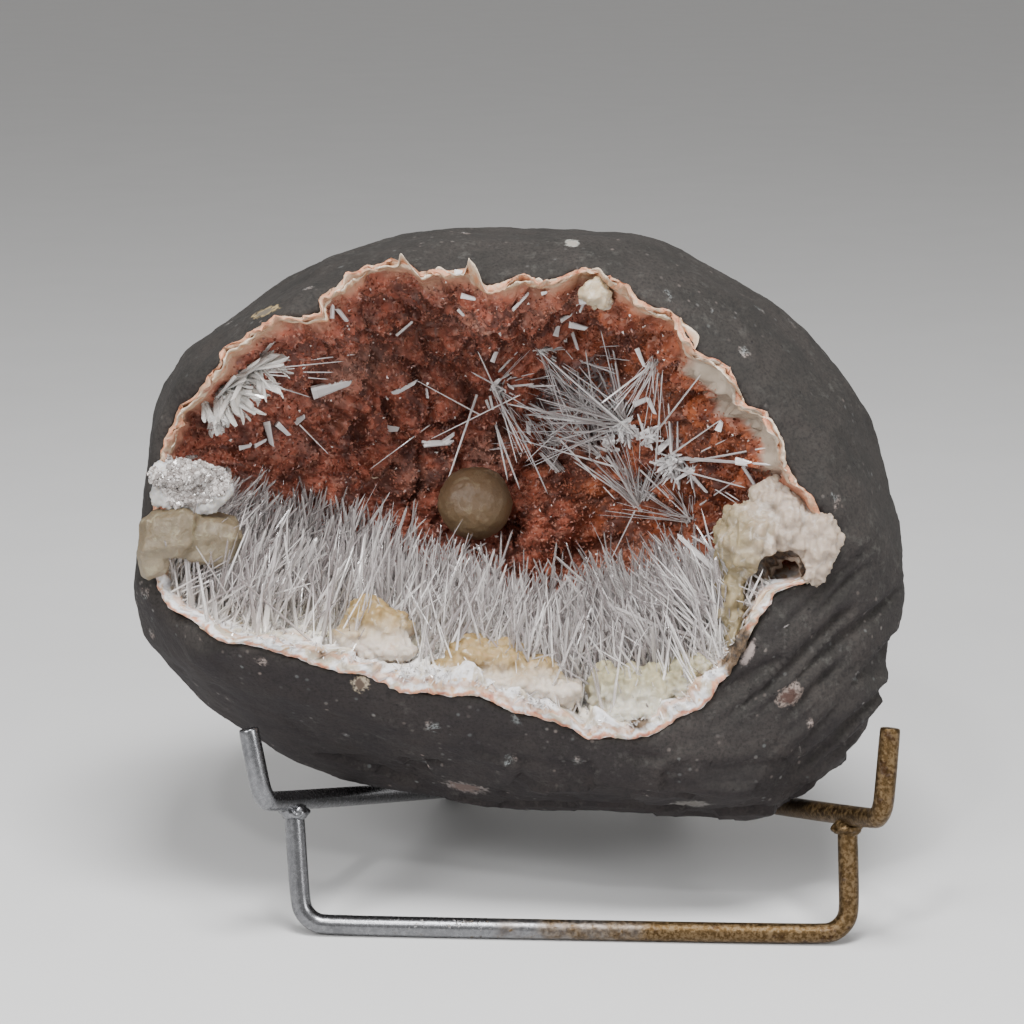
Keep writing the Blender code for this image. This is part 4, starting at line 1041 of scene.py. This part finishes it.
def stub_places(chance):
    places = []
    while len(places) < STUBS:
        root, normal = on_lining(chance.uniform(-61.0, 43.0), chance.uniform(-40.0, 8.0))
        if root is None or root.z < -2.5 or floor_share(root) < 0.4:
            continue
        inside = rim_distance(root)
        if inside < 1.6 or inside > read_table(BARE_LINE, root.x) + 4.0:
            continue
        bare = noise.noise(root * 0.22 + Vector((0.0, 0.0, 5.0)))
        if chance.random() < (0.85 if bare > -0.05 or (root.x < BLOCK_EDGE and root.y > -10.0) else 0.0):
            continue
        way = (normal + 0.75 * random_way(chance)).normalized()
        length = chance.uniform(0.4, 1.1) if chance.random() < 0.8 else chance.uniform(1.2, 3.0)
        width = chance.uniform(0.18, 0.42)
        places.append((standing(root - way * 0.3, way, chance.uniform(0.0, math.tau), width,
                                width * chance.uniform(0.5, 1.0), length), chance.random()))
    return places


def patch_places(chance):
    places = []
    while len(places) < PATCH_BLOCKS:
        u, v = PATCH_PLACE[0] + chance.uniform(-1.0, 1.0) * PATCH_SIZE[0], PATCH_PLACE[1] + chance.uniform(
            -1.0, 1.0) * PATCH_SIZE[1]
        root, normal = on_lining(u, v, ground_tree)
        if root is None:
            continue
        reach = math.hypot((root.x - PATCH_PLACE[0]) / PATCH_SIZE[0], (root.y - PATCH_PLACE[1]) / PATCH_SIZE[1])
        if reach + 0.6 * noise.noise(root * 0.35) > 0.9:
            continue
        way = (normal + 0.3 * random_way(chance)).normalized()
        width = 0.30 + 1.1 * chance.random() ** 2.0
        places.append((standing(root - way * 0.3, way, chance.uniform(0.0, math.tau), width,
                                width * chance.uniform(0.6, 1.0), chance.uniform(0.4, 0.9)), chance.random()))
    return places


needle_piece("front_stubs", prism_template("stub", 0.8, 0.2, 0.25), stub_places(random.Random(33)),
             needle_finish("stub_scolecite", 0.8, 0.35))
needle_piece("left_druse", prism_template("block", 0.85, 0.25, 0.2), patch_places(random.Random(34)),
             needle_finish("druse_scolecite", 0.1, 0.40, (0.32, 0.28, 0.26), (0.86, 0.81, 0.78)))


# Sprays in the pocket
# Stars of long thin needles, grown from a few seeds on the back wall and around the grey pocket.
# The needles of one star share a foot, and many cross the next star's.

SPRAYS = [
    ((624, 426), 76, (10.0, 24.0), (-20.0, 200.0), 0.40),
    ((676, 459), 64, (8.0, 19.0), (-30.0, 100.0), 0.42),
    ((494, 384), 32, (7.0, 20.0), (-90.0, 60.0), 0.40),
    ((585, 410), 44, (7.0, 17.0), (-180.0, 180.0), 0.34),
    ((600, 452), 50, (6.0, 17.0), (-40.0, 160.0), 0.36),
    ((640, 505), 60, (8.0, 18.0), (30.0, 150.0), 0.36),
    ((540, 350), 26, (9.0, 20.0), (-80.0, 10.0), 0.30),
    ((560, 440), 34, (6.0, 16.0), (40.0, 200.0), 0.30),
    ((560, 470), 24, (8.0, 19.0), (95.0, 150.0), 0.36),
    ((690, 520), 34, (6.0, 17.0), (60.0, 180.0), 0.30),
    ((655, 360), 22, (6.0, 15.0), (-150.0, -80.0), 0.30),
]
LONG_NEEDLES = [
    ((440, 505), (477, 395), 0.55), ((548, 495), (500, 388), 0.55), ((534, 348), (640, 440), 0.50),
    ((770, 465), (676, 458), 0.70), ((662, 370), (655, 470), 0.44), ((700, 375), (650, 440), 0.44),
    ((535, 417), (606, 424), 0.60), ((745, 488), (650, 462), 0.60), ((470, 372), (560, 420), 0.44),
    ((415, 380), (480, 415), 0.28), ((430, 440), (520, 395), 0.28), ((720, 420), (670, 455), 0.44),
    ((585, 350), (600, 440), 0.40), ((560, 345), (632, 430), 0.40), ((735, 480), (700, 505), 0.44),
    ((520, 440), (625, 470), 0.40), ((615, 500), (560, 440), 0.40), ((690, 520), (640, 470), 0.40),
    ((370, 470), (430, 425), 0.26), ((330, 455), (300, 425), 0.26), ((660, 560), (735, 520), 0.34),
    ((357, 355), (262, 366), 0.46), ((345, 362), (258, 370), 0.40), ((335, 373), (258, 372), 0.40),
    ((330, 380), (256, 374), 0.40), ((312, 398), (256, 380), 0.36), ((520, 490), (486, 400), 0.50),
    ((508, 482), (490, 396), 0.46), ((725, 440), (680, 462), 0.50), ((765, 448), (690, 462), 0.50),
    ((478, 352), (500, 400), 0.36), ((610, 560), (640, 500), 0.36), ((600, 330), (622, 420), 0.44),
]
CORES = [((624, 426), 74), ((676, 459), 84), ((645, 440), 30), ((494, 384), 8), ((694, 468), 30), ((612, 448), 18)]


def spray_places(chance, count_share):
    places = []
    for (x, y), count, (short, long), (low, high), width in SPRAYS:
        foot, normal = on_lining(*pixel_place(x, y))
        for _ in range(int(count * count_share)):
            angle = math.radians(chance.uniform(low, high))
            rise = chance.uniform(0.10, 0.75)
            way = Vector((math.cos(angle), math.sin(angle), -rise)).normalized()
            way = (way + 0.15 * normal).normalized()
            start = foot + 0.9 * random_way(chance) - way * 0.6
            thick = width * (0.35 + 1.25 * chance.random() ** 2.0)
            places.append((standing(start, way, chance.uniform(0.0, math.tau), thick, thick * chance.uniform(0.6, 1.0),
                                    chance.uniform(short, long)), chance.random() ** 0.7))
    return places


def long_places(chance):
    places = []
    for first, second, width in LONG_NEEDLES:
        foot, _ = on_lining(*pixel_place(*second))
        end, _ = on_lining(*pixel_place(*first))
        foot = foot - Vector((0.0, 0.0, 1.0))
        way = end - Vector((0.0, 0.0, 3.0)) - foot
        places.append((standing(foot, way.normalized(), chance.uniform(0.0, math.tau), width, width * 0.8, way.length),
                       chance.uniform(0.4, 1.0)))
    return places


def core_places(chance):
    """Short bright blades crowded round the feet of the stars."""
    places = []
    for (x, y), count in CORES:
        foot, normal = on_lining(*pixel_place(x, y))
        for _ in range(count):
            way = (random_way(chance) + 0.9 * normal + Vector((0.0, 0.0, -0.5))).normalized()
            width = chance.uniform(0.45, 1.05)
            seed = foot + 0.7 * normal + Vector((0.0, 0.0, -0.9)) + 1.4 * random_way(chance)
            places.append((standing(seed, way, chance.uniform(0.0, math.tau), width,
                                    width * 0.5, chance.uniform(1.5, 4.0)), chance.uniform(0.9, 1.0)))
    return places


chance = random.Random(5)
needle_piece("spray_needles_clear", prism_template("thin_needle", 0.5, 0.1, 0.06), spray_places(chance, 0.5),
             needle_finish("spray_scolecite", 0.3, 0.45, (0.66, 0.61, 0.61), (1.0, 1.0, 1.0)))
needle_piece("spray_needles_milky", prism_template("thin_needle", 0.5, 0.1, 0.06),
             spray_places(chance, 0.5) + long_places(chance) + core_places(chance),
             needle_finish("white_spray_scolecite", 0.3, 0.08, (0.50, 0.46, 0.46), (1.0, 0.99, 0.99)))


# Blades and chips
# Flat white blades of scolecite fan out from the upper left rim, with a few long needles among them.  Loose
# chips of broken crystal lie on the red wall, stuck to the sugar.

FAN_FOOT = (238, 380)
FAN_BLADES = 64
CHIPS = [
    ((333, 386), 44, 15, 14), ((403, 325), 22, 6, 66), ((469, 296), 17, 6, -14), ((517, 300), 24, 6, 10),
    ((494, 352), 20, 6, 68), ((404, 388), 40, 6, 27), ((270, 434), 26, 7, -78), ((281, 428), 22, 6, -42),
    ((257, 442), 16, 5, 8), ((246, 446), 14, 5, 10), ((394, 428), 17, 8, 4), ((440, 446), 30, 8, -8),
    ((432, 438), 22, 7, -28), ((302, 417), 14, 7, 40), ((580, 302), 18, 6, -84), ((588, 300), 16, 6, 8),
    ((610, 300), 18, 7, 2), ((564, 316), 14, 6, 22), ((580, 326), 20, 7, -10), ((556, 330), 14, 6, 75),
    ((578, 340), 22, 6, -62), ((568, 336), 12, 5, 80), ((645, 398), 26, 6, 25), ((655, 408), 20, 5, -50),
    ((748, 462), 22, 8, -4), ((752, 474), 26, 6, -82), ((722, 424), 12, 7, 60), ((642, 358), 22, 5, -66),
    ((524, 422), 20, 6, -50), ((530, 430), 16, 6, -85), ((338, 316), 20, 8, -25), ((328, 312), 14, 8, 60),
    ((450, 440), 16, 6, 40), ((464, 310), 9, 6, -50), ((545, 289), 8, 5, 30), ((430, 392), 10, 4, 80),
    ((690, 470), 26, 8, -10), ((702, 482), 22, 6, -60), ((668, 446), 24, 8, 30), ((455, 274), 9, 6, 10),
]


def blade_template(name):
    """A flat blade one unit long with bevelled edges and a chisel end."""
    bm = bmesh.new()
    bmesh.ops.create_cube(bm, size=1.0)
    bmesh.ops.translate(bm, verts=bm.verts, vec=(0.0, 0.0, 0.5))
    bmesh.ops.bevel(bm, geom=[edge for edge in bm.edges if abs((edge.verts[0].co - edge.verts[1].co).z) > 0.5],
                    offset=0.22, segments=1, profile=0.5, affect="EDGES", material=-1)
    for vert in bm.verts:
        if vert.co.z > 0.5:
            vert.co.z -= 0.16 * (vert.co.x + 0.5)
            vert.co.x *= 0.6
    return template_mesh(bm, name)


def fan_places(chance):
    places = []
    foot, normal = on_lining(*pixel_place(*FAN_FOOT))
    for number in range(FAN_BLADES):
        angle = math.radians(chance.uniform(-115.0, 48.0))
        way = Vector((math.cos(angle), math.sin(angle), -chance.uniform(0.15, 0.9))).normalized()
        along = chance.uniform(-1.0, 1.0)
        start = foot + Vector((3.6 * along, 3.8 * along, -0.8)) + 0.8 * random_way(chance)
        length = chance.uniform(3.5, 9.0)
        width = chance.uniform(0.5, 2.0)
        places.append((standing(start, way, chance.uniform(0.0, math.tau), width, width * chance.uniform(0.2, 0.45),
                                length), chance.uniform(0.0, 1.0)))
    for x, y, length in ((210, 408, 5.0), (218, 400, 5.0), (205, 404, 4.0), (226, 402, 5.5), (214, 412, 4.5)):
        start, _ = on_lining(*pixel_place(x, y))
        for _ in range(4):
            way = Vector((chance.uniform(-0.4, 0.6), -0.8, -chance.uniform(0.2, 0.9))).normalized()
            places.append((standing(start, way, chance.uniform(0.0, math.tau), 1.5, 0.6, length), 0.9))
    return places


def chip_places(chance):
    """Loose chips: each lies flat on the wall where the sight line through its pixel meets it."""
    places = []
    for (x, y), length, width, angle in CHIPS:
        middle, normal = on_lining(*pixel_place(x, y))
        if middle is None:
            continue
        turn = math.radians(angle)
        way = Vector((math.cos(turn), math.sin(turn), 0.0))
        way = (way - normal * way.dot(normal) * 0.8).normalized()
        scale = PIXEL_MM * (1.0 + middle.z / EYE_DISTANCE)
        start = middle + normal * 0.7 - way * (0.5 * length * scale)
        spin = chance.uniform(-0.3, 0.3)
        frame_z = way
        frame_y = (normal - way * normal.dot(way)).normalized()
        frame_x = frame_y.cross(frame_z)
        turned = Matrix((frame_x, frame_y, frame_z)).transposed().to_4x4() @ Matrix.Rotation(spin, 4, "Z")
        skew = Matrix(((1.0, 0.0, chance.uniform(-0.25, 0.25)), (0.0, 1.0, 0.0), (0.0, 0.0, 1.0))).to_4x4()
        shape = Matrix.Diagonal((width * scale, width * scale * 0.40, length * scale, 1.0)) @ skew
        places.append((Matrix.Translation(start) @ turned @ shape, 1.0))
    return places


chance = random.Random(11)
needle_piece("fan_of_blades", blade_template("blade"), fan_places(chance),
             needle_finish("blade_scolecite", 0.25, 0.62, (0.60, 0.57, 0.53), (1.0, 0.98, 0.95)))
needle_piece("loose_chips", blade_template("chip"), chip_places(chance),
             needle_finish("chip_scolecite", 0.3, 0.10, (0.60, 0.57, 0.58), (0.80, 0.78, 0.78)))


# Wire stand
# Two bent rods of 3.5 mm steel: a cradle whose arms hold the stone, and a leg loop welded under it.  The left
# side is bright steel, the right side has gone brown with rust.

RUST_STARTS = 0.004
ROUND_BY = 0.05
END_ROUND = 0.35


def wire_finish():
    material, shader, place = finish_named("wire", Specular_IOR_Level=0.5)
    across = place.node("ShaderNodeSeparateXYZ", out=0, Vector=place)
    height = place.node("ShaderNodeSeparateXYZ", out=2, Vector=place)
    blotch = place.noise(160.0, 4.0, 0.65)
    fine = place.noise(1500.0, 4.0, 0.7)
    rust = (across - RUST_STARTS + (blotch - 0.5) * 0.05).step(-0.012, 0.016)
    spots = place.noise(900.0, 4.0, 0.7).step(0.58, 0.66) * across.step(-0.03, 0.0)
    rust = rust.sum("MAXIMUM", spots)
    steel = fine.step(0.3, 0.7).mix((0.15, 0.151, 0.158), (0.22, 0.222, 0.232))
    steel = (blotch.step(0.55, 0.75) * 0.5).mix(steel, (0.055, 0.055, 0.060))
    brass = fine.step(0.35, 0.65).mix((0.058, 0.035, 0.015), (0.118, 0.074, 0.031))
    brass = (place.noise(420.0, 4.0, 0.7).step(0.55, 0.68) * 0.8).mix(brass, (0.030, 0.014, 0.007))
    colour = rust.mix(steel, brass)
    feed(shader, Base_Color=colour, Metallic=0.98 - rust * fine.step(0.45, 0.6) * 0.50,
         Roughness=0.24 + rust * 0.18 + fine * 0.06, Normal=(fine * (rust * 0.8 + 0.05)).bump(0.5, 0.0003))
    return material


wire = wire_finish()
for node in ("stand_cradle", "stand_front_leg"):
    rod = merged_mesh(node)
    bmesh.ops.join_triangles(rod, faces=rod.faces, angle_face_threshold=math.radians(25.0),
                             angle_shape_threshold=math.radians(180.0))
    flat = [edge for edge in rod.edges if len(edge.link_faces) == 2 and edge.calc_face_angle(0.0) < 0.01
            and min(len(face.verts) for face in edge.link_faces) == 3]
    bmesh.ops.dissolve_edges(rod, edges=flat, use_verts=False)
    ends = [edge for edge in rod.edges if edge.calc_face_angle(0.0) > math.radians(60.0)]
    bmesh.ops.bevel(rod, geom=ends, offset=END_ROUND * MM, segments=2, profile=0.5, affect="EDGES", material=-1)
    for vert in rod.verts:
        vert.co += vert.normal * (ROUND_BY * MM)
    piece = piece_from(rod, node + "_rod")
    fine_ring = piece.modifiers.new("round", "SUBSURF")
    fine_ring.levels = fine_ring.render_levels = 2
    piece.data.materials.append(wire)
    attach(piece, "root")
    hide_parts(node)


# Weld beads
# Where the leg loop meets the cradle, each of its two upright ends is held by a small bead of weld metal.
# The bead ran round the joint and sits on both rods.

BEAD_SIZE = (2.5, 2.7, 1.5)
BEAD_RISE = 0.1

leg_low, leg_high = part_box("stand_front_leg")
leg_tops = [to_view(vertex.co) for vertex in frame["nodes"]["stand_front_leg"].data.vertices
            if vertex.co.z > leg_high[2] - 0.004]
bead_bm = bmesh.new()
for side in (-1.0, 1.0):
    own = [top for top in leg_tops if top.x * side > 0.0]
    centre = sum(own, Vector()) / len(own)
    centre.y = max(top.y for top in own) + BEAD_RISE
    made = bmesh.ops.create_icosphere(bead_bm, subdivisions=4, radius=1.0)["verts"]
    for vert in made:
        swell = 1.0 + 0.22 * noise.noise(vert.co * 1.6 + Vector((side * 5.0, 0.0, 0.0))) + 0.06 * noise.noise(vert.co * 5.0)
        vert.co = centre + Vector((vert.co.x * BEAD_SIZE[0], vert.co.y * BEAD_SIZE[2], vert.co.z * BEAD_SIZE[1])) * swell
beads = piece_from(seated(bead_bm), "weld_beads")
beads.data.materials.append(wire)
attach(beads, "root")


# Floor, lights and camera


PHOTO_SIZE = 1024


floor_bm = bmesh.new()
bmesh.ops.create_grid(floor_bm, x_segments=1, y_segments=1, size=6.0)
floor = piece_from(floor_bm, "table")
paper, paper_shader, paper_place = finish_named("pale_table", Roughness=0.6)
feed(paper_shader, Base_Color=paper_place.noise(30.0).step(0.0, 1.0).mix((0.60, 0.60, 0.60), (0.63, 0.63, 0.63)))
floor.data.materials.append(paper)

world = bpy.data.worlds.new("studio")
bpy.context.scene.world = world
world.use_nodes = True
world.node_tree.nodes["Background"].inputs["Color"].default_value = (1.0, 0.985, 0.97, 1.0)
world.node_tree.nodes["Background"].inputs["Strength"].default_value = 0.42


def soft_light(name, place, target, size, power, colour=(1.0, 1.0, 1.0)):
    lamp = bpy.data.lights.new(name, "AREA")
    lamp.shape = "RECTANGLE"
    lamp.size, lamp.size_y = size
    lamp.energy = power
    lamp.color = colour
    item = bpy.data.objects.new(name, lamp)
    item.location = place
    item.rotation_euler = (Vector(target) - Vector(place)).to_track_quat("-Z", "Y").to_euler()
    bpy.context.scene.collection.objects.link(item)


soft_light("top_softbox", (0.05, -0.32, 0.70), (0.0, -0.02, 0.06), (0.30, 0.22), 9.0)
soft_light("left_softbox", (-0.45, -0.60, 0.42), (0.0, 0.0, 0.06), (0.22, 0.30), 4.7)
soft_light("glint_lamp", (-0.16, -0.55, 0.58), (0.0, 0.0, 0.06), (0.05, 0.05), 1.4)
soft_light("right_softbox", (0.55, -0.50, 0.30), (0.0, 0.0, 0.06), (0.20, 0.30), 3.0)

camera_data = bpy.data.cameras.new("photo_camera")
camera_data.sensor_width = 36.0
camera_data.lens = 36.0 * (EYE_DISTANCE / PIXEL_MM) / PHOTO_SIZE
camera = bpy.data.objects.new("photo_camera", camera_data)
camera.matrix_world = Matrix((
    (ACROSS.x, UP.x, -INWARD.x, 0.0), (ACROSS.y, UP.y, -INWARD.y, 0.0), (ACROSS.z, UP.z, -INWARD.z, 0.0),
    (0.0, 0.0, 0.0, 1.0)))
camera.location = from_view(0.0, 0.0, -EYE_DISTANCE)
bpy.context.scene.collection.objects.link(camera)
bpy.context.scene.camera = camera
